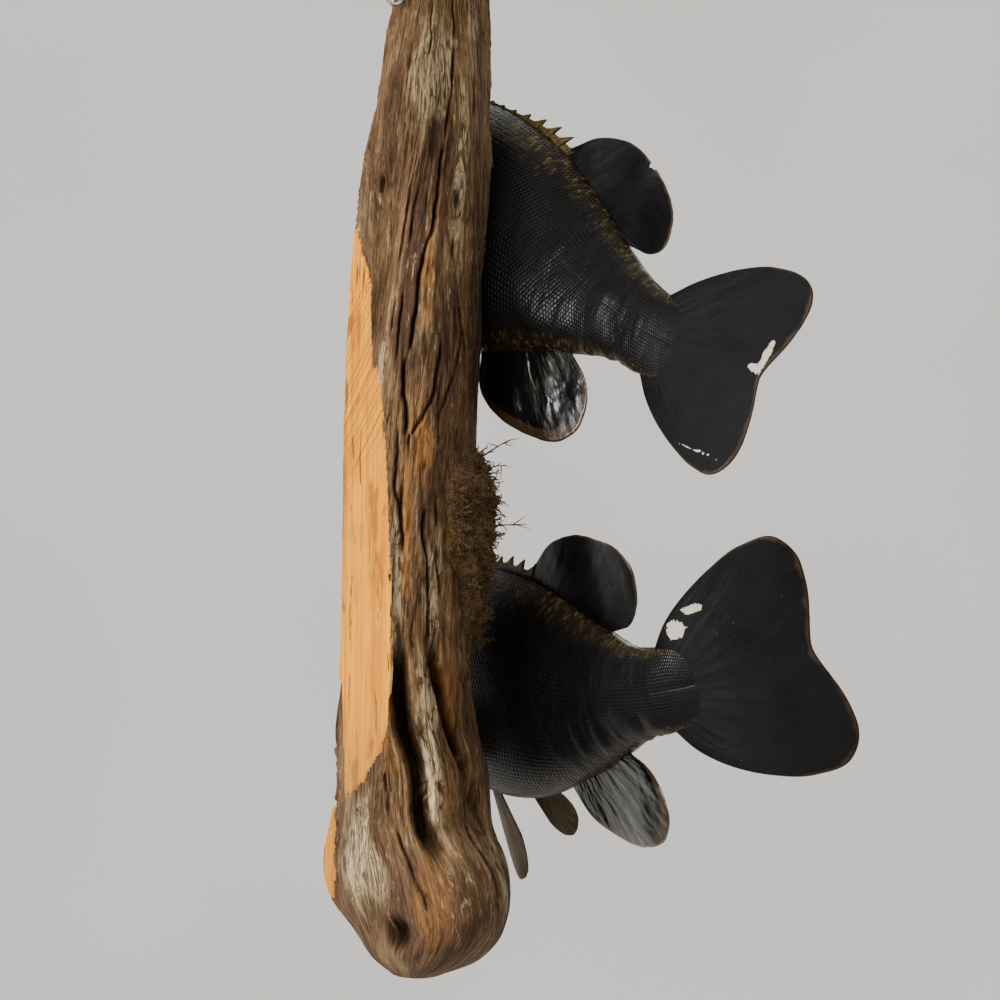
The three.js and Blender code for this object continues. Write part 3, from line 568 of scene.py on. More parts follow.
def skin_grid():
    """The whole skin of a straight fish: points, faces, and the attributes that its colours follow."""
    ring, angle = np.meshgrid(BODY_RINGS, ROUND, indexing="ij")
    outer, _, u, z = skin_points(ring, angle)
    lining = mouth_lining(outer[-1])
    points = np.concatenate([outer, lining])
    inside = np.concatenate([np.zeros(len(outer)), ease(0, 5, np.arange(len(lining)))])
    tail_quads, tail_ends = zip_ring(0, COLUMNS)
    throat_quads, throat_ends = zip_ring((len(points) - 1) * COLUMNS, COLUMNS)
    quads = np.concatenate([grid_faces(len(points), COLUMNS, wrap=True), tail_quads, throat_quads[:, ::-1]])
    ends = np.concatenate([tail_ends, throat_ends[:, ::-1]])
    u, z = (np.concatenate([v, np.repeat(v[-1:], len(lining), axis=0)]) for v in (u, z))
    share = share_round(ROUND) * np.ones_like(u)
    straight = stack(u, points[..., 1] / LENGTH, z).reshape(-1, 3)
    mark = stack(share, inside[:, None] + 0 * u, 0 * u).reshape(-1, 3)
    return points.reshape(-1, 3), [quads[:, ::-1], ends[:, ::-1]], {"straight": straight, "mark": mark}


SKIN_POINTS, SKIN_FACES, SKIN_MARKS = skin_grid()
print("skin grid:", len(SKIN_POINTS), "points")

# %% [markdown]
# ## Finishes
#
# Every finish is worked out by nodes from where a point is: in the trophy, or, on a fish, on the straight
# fish before it was bent, which each mesh carries in the attribute `straight`. A small class keeps such a
# material short to write: each call adds a node or two and returns the output.


# %% A class for finishes
class Finish:
    """A node material under construction."""

    def __init__(self, name):
        self.material = bpy.data.materials.new(name)
        self.material.use_nodes = True
        self.tree = self.material.node_tree
        self.shader = self.tree.nodes["Principled BSDF"]

    def node(self, kind, inputs, output=0, **settings):
        made = self.tree.nodes.new(kind)
        for key, value in settings.items():
            setattr(made, key, value)
        for key, value in inputs.items():
            if isinstance(value, bpy.types.NodeSocket):
                self.tree.links.new(value, made.inputs[key])
            else:
                made.inputs[key].default_value = value
        return made.outputs[output]

    def place(self):
        return self.node("ShaderNodeTexCoord", {}, "Object")

    def attribute(self, name, output="Vector"):
        return self.node("ShaderNodeAttribute", {}, output, attribute_name=name)

    def parts(self, vector):
        made = self.node("ShaderNodeSeparateXYZ", {0: vector}).node
        return made.outputs[0], made.outputs[1], made.outputs[2]

    def math(self, operation, a, b=0.0):
        return self.node("ShaderNodeMath", {0: a, 1: b}, operation=operation)

    def plus(self, a, b):
        return self.math("ADD", a, b)

    def minus(self, a, b):
        return self.math("SUBTRACT", a, b)

    def times(self, a, b):
        return self.math("MULTIPLY", a, b)

    def length(self, a, b):
        squares = self.plus(self.math("POWER", a, 2.0), self.math("POWER", b, 2.0))
        return self.math("POWER", squares, 0.5)

    def stray(self, noise, strength):
        """A noise turned into a shift to both sides."""
        return self.times(self.minus(noise, 0.5), strength)

    def joined(self, *values):
        return self.node("ShaderNodeCombineXYZ", dict(enumerate(values)))

    def ramp(self, low, high, value):
        """0 where value is low, 1 where it is high, and smooth between."""
        inputs = {"Value": value, "From Min": low, "From Max": high}
        return self.node("ShaderNodeMapRange", inputs, interpolation_type="SMOOTHSTEP")

    def band(self, value, centre, width):
        """1 where value is near centre, falling smoothly to 0 at width from it."""
        return self.ramp(width, 0.0, self.math("ABSOLUTE", self.minus(value, centre)))

    def stretch(self, vector, scale, offset=(0, 0, 0)):
        return self.node("ShaderNodeMapping", {"Vector": vector, "Scale": scale, "Location": offset})

    def noise(self, vector, scale, detail=4.0, roughness=0.55, distortion=0.0):
        return self.node("ShaderNodeTexNoise", {"Vector": vector, "Scale": scale, "Detail": detail,
                                                "Roughness": roughness, "Distortion": distortion})

    def mix(self, share, a, b):
        made = self.tree.nodes.new("ShaderNodeMix")
        made.data_type = "RGBA"
        for key, value in ((0, share), (6, a), (7, b)):
            if isinstance(value, bpy.types.NodeSocket):
                self.tree.links.new(value, made.inputs[key])
            else:
                made.inputs[key].default_value = (*value, 1) if isinstance(value, tuple) else value
        return made.outputs[2]

    def over(self, colour, paint, mask, strength=1.0):
        """Lays a paint over a colour where the mask is 1."""
        return self.mix(mask if strength == 1.0 else self.times(mask, strength), colour, paint)

    def bumped(self, height, distance, strength=1.0):
        return self.node("ShaderNodeBump", {"Height": height, "Distance": distance, "Strength": strength})

    def done(self, **sockets):
        """Sets or links the shader's sockets, named with _ for spaces, and returns the material."""
        for key, value in sockets.items():
            socket = self.shader.inputs[key.replace("_", " ")]
            if isinstance(value, bpy.types.NodeSocket):
                self.tree.links.new(value, socket)
            else:
                socket.default_value = value
        return self.material


def finish_with(piece, material, slot, *replaced):
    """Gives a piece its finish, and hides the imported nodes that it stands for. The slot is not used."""
    piece.data.materials.append(material)
    if replaced:
        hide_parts(*replaced)
    return piece


# %% [markdown]
# ### Smallmouth paint, and the blacked back
#
# The side that faces the room is painted as a living smallmouth: bronze-olive, with dusky bars and mottling,
# three dark stripes fanning back from a red eye, and a belly of smoky cream. The side that faces the wall was
# simply blacked, with a ragged edge where golden scale flecks show along the back and the belly. One function
# makes both, and the skin, the scales and the fin roots all use it, so the markings run on from one to the
# next.


# %% The colour of a bass
def bass_colour(f):
    """The colour of both sides at a place of the straight fish. Also gives how far inside the mouth it is."""
    straight, mark = f.attribute("straight"), f.attribute("mark")
    u, _, z = f.parts(straight)
    share, inside, _ = f.parts(mark)
    turn = f.math("ABSOLUTE", share)
    wide = f.noise(straight, 9.0, 3.0)
    fine = f.noise(straight, 70.0, 4.0, 0.65)
    turn_rough = f.plus(turn, f.stray(wide, 0.22))
    colour = f.mix(f.ramp(0.0, 0.3, turn_rough), (0.020, 0.019, 0.009), (0.105, 0.075, 0.022))
    colour = f.over(colour, (0.24, 0.165, 0.055), f.ramp(0.3, 0.62, turn_rough))
    colour = f.over(colour, (0.56, 0.47, 0.29), f.ramp(0.64, 0.86, turn_rough))
    bars = f.noise(f.stretch(straight, (19.0, 1.0, 3.2)), 1.0, 3.0, 0.6, 0.6)
    on_flank = f.times(f.band(turn, 0.42, 0.36), f.ramp(0.26, 0.36, u))
    colour = f.over(colour, (0.035, 0.028, 0.012), f.times(f.ramp(0.5, 0.6, bars), on_flank))
    mottle = f.times(f.ramp(0.52, 0.66, fine), f.ramp(0.95, 0.6, turn))
    colour = f.over(colour, (0.05, 0.038, 0.014), mottle, 0.6)
    behind_eye, over_eye = f.minus(u, EYE_PLACE[0]), f.minus(z, EYE_PLACE[1])
    far = f.length(behind_eye, over_eye)
    ragged = f.plus(f.math("ARCTAN2", over_eye, behind_eye), f.stray(wide, 0.5))
    cheek = f.times(f.ramp(0.024, 0.034, far), f.ramp(0.235, 0.2, u))
    for direction, width in ((-0.95, 0.16), (-0.35, 0.15), (0.22, 0.13)):
        stripe = f.times(f.band(ragged, direction, width), cheek)
        colour = f.over(colour, (0.030, 0.022, 0.010), stripe, 0.75)
    # The dark flecked margin also runs along the keel on both sides: partly the blacking's flecked margin,
    # partly painted shade under the belly.
    keel_margin_and_shade = f.times(f.ramp(0.93, 0.96, turn), f.ramp(0.45, 0.6, u))
    left = f.math("MAXIMUM", f.ramp(0.0, 0.02, share), keel_margin_and_shade)
    ragged_edge = f.plus(turn, f.stray(fine, 0.16))
    black = f.times(f.ramp(0.13, 0.24, ragged_edge), f.ramp(0.88, 0.76, ragged_edge))
    black = f.times(black, left)
    flecks = f.ramp(0.48, 0.70, f.noise(straight, 240.0, 2.0))
    margin = f.mix(flecks, (0.013, 0.0085, 0.004), (0.082, 0.058, 0.020))
    colour = f.over(colour, margin, left)
    paint = f.mix(f.noise(straight, 30.0, 5.0, 0.7), (0.0012, 0.0013, 0.0018), (0.006, 0.006, 0.0075))
    colour = f.over(colour, paint, black)
    return colour, inside


def bass_skin_finish():
    """Varnished skin. In the mouth it turns to dull pinkish grey."""
    f = Finish("Varnished bass skin")
    colour, inside = bass_colour(f)
    straight = f.attribute("straight")
    flesh = f.mix(f.noise(straight, 60.0), (0.30, 0.17, 0.13), (0.42, 0.30, 0.24))
    colour = f.over(colour, flesh, inside)
    pores = f.noise(straight, 420.0, 3.0, 0.6)
    smears = f.noise(f.stretch(straight, (3.0, 3.0, 8.0)), 12.0, 4.0)
    roughness = f.plus(f.times(f.ramp(0.3, 0.75, smears), 0.22), 0.2)
    return f.done(Base_Color=colour, Roughness=roughness, Normal=f.bumped(pores, 0.0004, 0.5),
                  Coat_Weight=0.12, Coat_Roughness=0.12, Specular_IOR_Level=0.22)


SKIN_FINISH = bass_skin_finish()
print("finish:", SKIN_FINISH.name)

# %% [markdown]
# ## Scales
#
# A bass has about seventy scales along its side, in rows that follow the lateral line and stop where the back
# or the belly cuts them off. Instances or particles would be quick, but each scale here is a real little
# shell: an outline of ten points, domed on top, that is laid out in the two parameters of the skin and so
# bends with it. Its front edge dips into the skin and its rear edge stands over the next one.

# %% One scale
SCALE_RIM = 10


def one_scale():
    """Points of a scale as (towards the tail, across, height), in shares of its pitch, with its triangles."""
    turn = np.arange(SCALE_RIM) * 2 * np.pi / SCALE_RIM
    rim = stack(0.66 * np.cos(turn) + 0.04 * np.cos(2 * turn), 0.6 * np.sin(turn), 0.0)
    top = stack(0.42 * np.cos(turn[::2]) + 0.03, 0.37 * np.sin(turn[::2]), 0.055)
    points = np.concatenate([rim, top, [[0.05, 0, 0.07], [0, 0, -0.05]]])
    points[:, 2] += 0.105 * ease(-0.6, 0.7, points[:, 0]) - 0.045
    low = np.arange(SCALE_RIM)
    even, j = low[::2], np.arange(SCALE_RIM // 2)
    high, next_high = SCALE_RIM + j, SCALE_RIM + (j + 1) % len(j)
    crown, under = SCALE_RIM + len(j), SCALE_RIM + len(j) + 1
    fans = [stack(high, even, even + 1), stack(high, even + 1, next_high),
            stack(next_high, even + 1, (even + 2) % SCALE_RIM), stack(crown, high, next_high),
            stack(under, (low + 1) % SCALE_RIM, low)]
    return points, np.concatenate(fans)


SCALE_POINTS, SCALE_FACES = one_scale()
print("one scale:", len(SCALE_FACES), "triangles")


# %% Where the scales sit
SCALE_LINE = 4.1 * MM  # from one line of scales to the next, across the body
SCALE_STEP = 3.5 * MM  # from one scale of a line to the next
FIRST_SCALES, LAST_SCALES = 1.03, 0.205  # shares of the length where the scales begin and end
GILL_SCALE, CHEEK_SCALE = 0.62, 0.44
HEAD_RINGS = np.linspace(0.75, 1.98, 124)
HEAD_ROUND = np.linspace(0.05, np.pi - 0.05, 90)
HEAD_RINGS, HEAD_ROUND = np.meshgrid(HEAD_RINGS, HEAD_ROUND, indexing="ij")
HEAD_PLACES = np.stack(skin_surface(HEAD_RINGS, HEAD_ROUND)[1:], axis=-1).reshape(-1, 2)


def ring_and_angle(u, z):
    """Where the skin's grid has the place (u, z) of the left side, by Newton steps from the nearest point."""
    nearest = ((HEAD_PLACES[None] - stack(u, z)[:, None]) ** 2).sum(-1).argmin(1)
    ring, angle = HEAD_RINGS.ravel()[nearest], HEAD_ROUND.ravel()[nearest]
    step = 1e-4
    for _ in range(4):
        _, u0, z0 = skin_surface(ring, angle)
        _, ur, zr = skin_surface(ring + step, angle)
        _, ua, za = skin_surface(ring, angle + step)
        a, b, c, d = (ur - u0) / step, (ua - u0) / step, (zr - z0) / step, (za - z0) / step
        solve = 1 / (a * d - b * c)
        move = solve * (d * (u - u0) - b * (z - z0)), solve * (a * (z - z0) - c * (u - u0))
        ring = np.clip(ring + np.clip(move[0], -0.02, 0.02), 0.5, 1.99)
        angle = np.clip(angle + np.clip(move[1], -0.05, 0.05), 0.02, np.pi - 0.02)
    return ring, angle


def scale_size(u):
    """Size as a share of the pitch: smaller on the stalk, on the nape and at the root of the tail."""
    stalk, nape, tail = float(ease(0.6, 0.95, u)), float(ease(0.19, 0.34, u)), float(ease(0.97, 1.03, u))
    return mix(1, 0.6, stalk) * mix(0.5, 0.76, nape) * mix(1, 0.7, tail)


def flank_scales():
    """(ring, angle, size) of the left flank's scales, in staggered rows that follow the lateral line."""
    angles = np.linspace(0, np.pi, 161)
    places, u, odd = [], FIRST_SCALES, 0
    while u > LAST_SCALES:
        ring = (1 - u) / (1 - NECK)
        size = scale_size(u)
        ring_points, _, heights = skin_surface(np.full_like(angles, ring), angles)
        walked = np.concatenate([[0], np.cumsum(np.linalg.norm(np.diff(ring_points, axis=0), axis=1))])
        start = np.interp(-lateral_line(u), -heights, walked)
        lines = np.arange(-60, 61) * 2 * SCALE_LINE * size + odd * SCALE_LINE * size + start
        lines = lines[(lines > 0.35 * SCALE_LINE) & (lines < walked[-1] - 0.2 * SCALE_LINE)]
        places.append(stack(ring, np.interp(lines, walked, angles), size))
        u -= SCALE_STEP * size / 2 / LENGTH
        odd = 1 - odd
    places = np.concatenate(places)
    _, u, z = skin_surface(places[:, 0], places[:, 1])
    behind_gill = line_distance(GILL_EDGE, u, z) > 0.006
    return places[behind_gill & ~((z < -0.09) & (u < 0.24))]


def on_gill_cover(u, z):
    """Behind the cheek's edge and in front of the gill cover's."""
    in_front = line_distance(GILL_EDGE, u, z) < -0.012
    return in_front & (line_distance(CHEEK_EDGE, u, z) > 0.008) & (z < 0.055) & (z > -0.085) & (u > 0.21)


def on_cheek(u, z):
    """Between the eye, the upper jaw bone and the cheek's edge."""
    far = np.hypot(u - EYE_PLACE[0], z - EYE_PLACE[1]) > 0.040
    between = (line_distance(CHEEK_EDGE, u, z) < -0.010) & (line_distance(JAW_PLATE, u, z) > 0.012)
    return far & between & (u > 0.13) & (z < 0.05) & (z > -0.062)


def head_scales():
    """The smaller scales of the gill cover and the cheek, as flank_scales gives them."""
    places = []
    for size, keep in ((GILL_SCALE, on_gill_cover), (CHEEK_SCALE, on_cheek)):
        across, along_body = SCALE_LINE * size / LENGTH, SCALE_STEP * size / LENGTH
        row, line = np.meshgrid(np.arange(160), np.arange(-60, 60), indexing="ij")
        u, z = 0.12 + row * along_body / 2, (2 * line + row % 2) * across
        inside = keep(u, z)
        ring, angle = ring_and_angle(u[inside], z[inside])
        places.append(stack(ring, angle, size))
    return np.concatenate(places)


PLACES = np.concatenate([flank_scales(), head_scales()])
print("scales on each side:", len(PLACES))


# %% Scales laid on the skin
def scales_on(side):
    """All scales of the left (1) or right (-1) side of a straight fish: points, faces, attributes and UVs."""
    ring, angle, size = PLACES.T
    angle = angle if side > 0 else 2 * np.pi - angle
    step = 1e-4
    root, u, z = skin_surface(ring, angle)
    by_ring = (skin_surface(ring + step, angle)[0] - skin_surface(ring - step, angle)[0]) / (2 * step)
    by_angle = (skin_surface(ring, angle + step)[0] - skin_surface(ring, angle - step)[0]) / (2 * step)
    normal = unit(np.cross(by_ring, by_angle))
    tailward = unit(np.array([-1.0, 0, 0]) + normal * normal[:, :1])
    across = np.cross(normal, tailward)
    back, aside, high = SCALE_POINTS.T[..., None]
    away = 1.25 * SCALE_STEP * back * tailward[:, None] + 1.35 * SCALE_LINE * aside * across[:, None]
    away = size[:, None, None] * away
    pairs = (by_ring, by_ring), (by_angle, by_angle), (by_ring, by_angle)
    rr, aa, ra = ((p * q).sum(-1)[:, None] for p, q in pairs)
    on_r, on_a = (away * by_ring[:, None]).sum(-1), (away * by_angle[:, None]).sum(-1)
    spread = rr * aa - ra * ra
    ring_at = ring[:, None] + (aa * on_r - ra * on_a) / spread
    angle_at = angle[:, None] + (rr * on_a - ra * on_r) / spread
    points, normals, _, _ = skin_points(np.minimum(ring_at, 1.995), angle_at)
    points = points + normals * (high * SCALE_STEP * size[:, None, None])
    points = points.reshape(-1, 3)
    count, corners = len(ring), len(SCALE_POINTS)
    faces = (SCALE_FACES[None] + corners * np.arange(count)[:, None, None]).reshape(-1, 3)
    share = share_round(angle)[:, None]
    straight = np.repeat(stack(u, root[:, 1] / LENGTH, z), corners, axis=0)
    mark = stack(share, 0.0, back[None, :, 0]).reshape(-1, 3)
    bake = stack(u[:, None] + 0.0022 * back[:, 0], (share + 1) / 2 + 0.0024 * aside[:, 0])
    marks = {"straight": straight, "mark": mark}
    return points, turned_out(points, faces), marks, bake.reshape(-1, 2)


def add_bake_map(piece, places):
    """A UV map OFBake with one place for each point of the mesh."""
    corners = np.empty(len(piece.data.loops), np.int32)
    piece.data.loops.foreach_get("vertex_index", corners)
    layer = piece.data.uv_layers.new(name="OFBake")
    layer.data.foreach_set("uv", places[corners].astype(np.float32).ravel())


def scale_finish(name, gloss):
    """The skin's paint, a little darker where a scale ends. gloss is (specular level, coat weight)."""
    f = Finish(name)
    colour, _ = bass_colour(f)
    _, _, tip = f.parts(f.attribute("mark"))
    straight = f.attribute("straight")
    colour = f.over(colour, (0.012, 0.010, 0.006), f.ramp(0.3, 0.7, tip), 0.45)
    smears = f.noise(straight, 14.0, 4.0)
    roughness = f.plus(f.times(f.ramp(0.3, 0.75, smears), 0.2), 0.2)
    grain = f.noise(f.place(), 2600.0, 2.0)
    return f.done(Base_Color=colour, Roughness=roughness, Normal=f.bumped(grain, 0.0001, 0.5),
                  Coat_Weight=gloss[1], Coat_Roughness=0.1, Specular_IOR_Level=gloss[0])


SCALE_FINISH = {"left": scale_finish("Blacked bass scales", (0.11, 0.05)),
                "right": scale_finish("Varnished bass scales", (0.35, 0.25))}
SCALE_SIDES = {"left": scales_on(1), "right": scales_on(-1)}

# %% [markdown]
# ## Fins
#
# In a skin mount the fins are real, dried and stiffened, with a backing on the wall side. Each is a closed
# plate between a root line and an edge line. On the show side every ray is a ridge that forks towards the
# edge; on the wall side the backing is smooth, and blacked. The spiny dorsal is a row of stiff spines with a
# sagging web, folded low.

# %% A fin between two lines
FIN_ROOT_DEPTH = 0.022
RAY_COLUMNS = 10  # columns of points from one ray to the next


def fin_plate(root, edge, side, rays, seed, forks=True, both=False, rows=34):
    """A closed plate of rays from root to edge, in the straight fish, that faces along side and against it.

    Half its thickness is a web that thins to the edge plus ridges |cos|^4 on the rays. Both = True puts the
    ridges on both faces; otherwise the face along side is the smooth backing.
    """
    columns = len(root)
    share, reach = np.meshgrid(np.linspace(0, 1, columns), np.linspace(0, 1, rows), indexing="xy")
    wave = np.random.default_rng(seed).uniform(0, 6.28, 3)
    nick = 0.004 * fractal(stack(share * 22, wave[0], 0.0), 3, seed)
    nick = nick + 0.002 * np.cos(2 * np.pi * rays * share)
    plane = mix(root[None], edge[None], (reach * (1 + nick * reach**4))[..., None])
    single = np.cos(np.pi * rays * share) ** 4
    forked = np.cos(2 * np.pi * rays * share + 0.5 * np.pi) ** 2
    ridge = mix(single, forked, ease(0.35, 0.7, reach)) if forks else np.cos(np.pi * rays * share) ** 12
    strength = (0.34 if forks else 0.55) * MM * ease(0.0, 0.1, reach) * (1 - 0.75 * reach)
    web = mix(1.15, 0.3, reach**0.7) * MM
    sway = np.sin(5 * share + wave[1]) * reach**1.5
    sway = sway + 0.6 * np.sin(11 * share + wave[2] + 2 * reach) * reach**2
    middle = plane + side * (0.9 * MM * sway)[..., None]
    smooth = 0.1 * MM * single * (1 - reach)
    front = middle + side * (web + (strength * ridge if both else smooth))[..., None]
    back = middle - side * (web + strength * ridge)[..., None]
    points = np.concatenate([front.reshape(-1, 3), back.reshape(-1, 3)])
    wall = np.repeat([0.0 if both else 1.0, 0.0], front.size // 3)
    fin = stack(np.tile(share.ravel(), 2), np.tile(reach.ravel(), 2), wall)
    straight = points / LENGTH * [-1, 1, 1]
    return points, plate_faces(rows, columns), {"straight": straight, "fin": fin}


ACROSS = np.array([0.0, 1.0, 0.0])
SOFT_DORSAL = {
    "between": (0.625, 0.8),
    "edge": [(0.628, 0.016), (0.652, 0.062), (0.7, 0.102), (0.76, 0.118), (0.835, 0.118),
             (0.885, 0.092), (0.9, 0.054), (0.874, 0.022), (0.802, 0.0)],
    "way": 1,
    "rays": 14,
}
ANAL_FIN = {
    "between": (0.655, 0.8),
    "edge": [(0.658, 0.0), (0.695, 0.058), (0.755, 0.106), (0.81, 0.132), (0.865, 0.138),
             (0.89, 0.112), (0.88, 0.065), (0.842, 0.022), (0.802, 0.0)],
    "way": -1,
    "rays": 12,
}


def outline_height(u, way):
    """Height of the back (way 1) or depth of the belly (-1)."""
    return along(BODY, u)[..., 0 if way > 0 else 1]


def middle_fin(shape, lean_and_rise, seed):
    """A soft fin on the back (way 1) or belly (-1). Its edge leans and rises by shares of its heights."""
    lean, rise = lean_and_rise
    way, columns = shape["way"], shape["rays"] * RAY_COLUMNS + 1
    u = np.linspace(*shape["between"], columns)
    root = fish_point(u, 0, way * (outline_height(u, way) - FIN_ROOT_DEPTH))
    edge_u, high = np.array(shape["edge"]).T
    edge_u, high = edge_u + lean * high, rise * high
    edge = curve(fish_point(edge_u, 0, way * (outline_height(edge_u, way) + high)), columns)
    return fin_plate(root, edge, ACROSS, shape["rays"], seed)


SPINE_COUNT = 10
SPINES_BETWEEN = (0.385, 0.618)
SPINE_LOW, SPINE_REACH = 0.0035, 0.023


def spiny_dorsal(seed):
    """Ten spines that lie low in front and rise behind, and a web whose edge sags between them as |cos|."""
    share = np.linspace(0, 1, (SPINE_COUNT - 1) * 2 * RAY_COLUMNS + 1)
    u = np.linspace(*SPINES_BETWEEN, len(share))
    full = mix(SPINE_LOW, SPINE_REACH, ease(0.35, 0.85, share))
    height = full * (0.35 + 0.65 * np.abs(np.cos(np.pi * (SPINE_COUNT - 1) * share)) ** 12)
    tip = np.minimum(u + 0.03 * height / SPINE_REACH, SOFT_DORSAL["between"][0] + 0.02)
    root = fish_point(u, 0, outline_height(u, 1) - FIN_ROOT_DEPTH)
    edge = fish_point(tip, 0, outline_height(tip, 1) + height)
    return fin_plate(root, edge, ACROSS, SPINE_COUNT - 1, seed, forks=False, both=True, rows=24)


TAIL_ROOT = 0.955
TAIL_LOBE = [(0, 0.05), (0.045, 0.09), (0.115, 0.13), (0.185, 0.153), (0.235, 0.148), (0.255, 0.112),
             (0.25, 0.06)]
TAIL_FORK, TAIL_RAYS = 0.233, 17


def tail_fin(shares, seed):
    """Two round lobes and a shallow fork, on a root that curves round the end of the stalk.

    shares gives how much of its full spread each lobe has, above and below, and of its full length.
    """
    above, below, long = shares
    upper = [(TAIL_ROOT + long * back, above * z) for back, z in TAIL_LOBE]
    lower = [(TAIL_ROOT + long * back, -below * z) for back, z in reversed(TAIL_LOBE)]
    outline = np.array([*upper, (TAIL_ROOT + TAIL_FORK * long, 0.0), *lower])
    share = np.linspace(0, 1, TAIL_RAYS * RAY_COLUMNS + 1)
    root = fish_point(TAIL_ROOT + 0.035 * np.sin(np.pi * share), 0, 0.05 * (1 - 2 * share))
    edge = curve(fish_point(outline[:, 0], 0, outline[:, 1]), len(share))
    return fin_plate(root, edge, ACROSS, TAIL_RAYS, seed, rows=48)


PELVIC = {"at": (0.385, 0.022, -0.146), "root": (-0.022, 0.004, 0), "rays": 6, "reach": 0.155}
PECTORAL = {"at": (0.372, 0.084, -0.02), "root": (-0.004, 0.0, -0.05), "rays": 13, "reach": 0.165}
# first and last ray of a paired fin, as directions on the left side
PELVIC_RAYS = {
    "left": ((-0.3, 0.08, -1), (-0.62, -0.14, -0.85)),
    "right": ((-0.72, 0.1, -0.66), (-0.92, 0.32, -0.34)),
}
RIGHT_PECTORAL_RAYS = ((-0.85, 0.7, 0.1), (-0.55, 0.7, -0.95))


def paired_fin(shape, first_and_last, side, seed):
    """A paddle whose rays swing from a first to a last direction; side -1 mirrors it to the right."""
    mirror = np.array([1, side, 1])
    first, last = (unit(np.array(v, float) * mirror) for v in first_and_last)
    share = np.linspace(0, 1, shape["rays"] * RAY_COLUMNS + 1)
    ray = unit(mix(first, last, share[:, None]))
    start = fish_point(*shape["at"]) * mirror + np.array(shape["root"]) * mirror * LENGTH * share[:, None]
    reach = shape["reach"] * LENGTH * (0.55 + 0.45 * np.sin(np.pi * share**0.8) ** 0.6)
    root = start - unit(first + last) * FIN_ROOT_DEPTH * LENGTH
    facing = unit(np.cross(first, last))
    facing = facing * np.sign(facing[1])
    return fin_plate(root, start + ray * reach[:, None], facing, shape["rays"], seed, both=shape is PELVIC)


def fins_of(bass, seed):
    """Each fin of a bass by name, as points, faces and attributes of the straight fish."""
    return {
        "dorsal_fin_spiny": spiny_dorsal(seed),
        "dorsal_fin_soft": middle_fin(SOFT_DORSAL, bass["dorsal"], seed + 1),
        "anal_fin": middle_fin(ANAL_FIN, bass["anal"], seed + 2),
        "tail_fin": tail_fin(bass["tail"], seed + 3),
        "pelvic_fin_left": paired_fin(PELVIC, PELVIC_RAYS["left"], 1, seed + 4),
        "pelvic_fin_right": paired_fin(PELVIC, PELVIC_RAYS["right"], -1, seed + 5),
        "pectoral_fin_left": paired_fin(PECTORAL, bass["pectoral"], 1, seed + 6),
        "pectoral_fin_right": paired_fin(PECTORAL, RIGHT_PECTORAL_RAYS, -1, seed + 7),
    }


# %% The finish of fins
def chipped(points, chips):
    """How near each place is to a chip in the paint. A chip is (u, z, reach along, reach across)."""
    nearest = np.zeros(len(points))
    for u, z, along_fin, across_fin in chips:
        far = np.hypot((points[:, 0] - u) / along_fin, (points[:, 2] - z) / across_fin)
        nearest = np.maximum(nearest, bump(far, 1.2))
    return nearest


BLACK_PAINT = ((0.0015, 0.0016, 0.0022), (0.0042, 0.0044, 0.0056))
BROWN_PAINT = ((0.0130, 0.0085, 0.0055), (0.0300, 0.0190, 0.0120))


def fin_finish(name, web, ray, spots, gloss, paints=BLACK_PAINT, margin=0.965):
    """Dark rays over a translucent-looking mottled web, and a painted backing with a worn brown margin.

    gloss is (lowest roughness, specular level, height of the brush marks in metres), paints are the two
    tones of the backing, and margin is the reach at which its brown edge begins.
    """
    f = Finish(name)
    straight, fin = f.attribute("straight"), f.attribute("fin")
    share, reach, wall = f.parts(fin)
    blotches = f.noise(straight, 26.0, 4.0, 0.6)
    fine = f.noise(f.joined(f.times(share, 90.0), f.times(reach, 7.0)), 1.0, 4.0, 0.6)
    colour = f.mix(f.ramp(0.35, 0.65, fine), ray, web)
    joints = f.math("PINGPONG", f.times(reach, 46.0), 1.0)
    colour = f.over(colour, (0.02, 0.015, 0.008), f.ramp(0.6, 1.0, joints), 0.25)
    colour = f.over(colour, (0.028, 0.022, 0.012), f.times(f.ramp(0.48, 0.62, blotches), spots))
    colour = f.over(colour, (0.06, 0.045, 0.018), f.ramp(0.25, 0.0, reach))
    paint = f.mix(f.noise(straight, 16.0, 5.0, 0.7), *paints)
    rim = f.plus(reach, f.stray(f.noise(straight, 45.0, 3.0), 0.10))
    paint = f.over(paint, (0.036, 0.021, 0.012), f.ramp(margin, margin + 0.03, rim))
    colour = f.over(colour, paint, wall)
    chip = f.plus(f.attribute("chip", "Fac"), f.stray(f.noise(straight, 110.0, 4.0, 0.7), 1.1))
    colour = f.over(colour, (0.52, 0.49, 0.42), f.times(f.ramp(0.5, 0.56, chip), wall))
    specks = f.times(f.ramp(0.72, 0.77, f.noise(straight, 330.0, 2.0)), wall)
    colour = f.over(colour, (0.10, 0.095, 0.085), specks, 0.6)
    smears = f.ramp(0.35, 0.7, f.noise(straight, 18.0, 4.0, 0.65))
    roughness = f.plus(f.times(smears, 0.2), gloss[0])
    brushed = f.noise(f.joined(f.times(share, 11.0), f.times(reach, 2.2)), 1.0, 2.5, 0.5)
    return f.done(Base_Color=colour, Roughness=roughness, Normal=f.bumped(brushed, gloss[2], 0.6),
                  Coat_Weight=0.06, Coat_Roughness=0.1, Specular_IOR_Level=gloss[1])


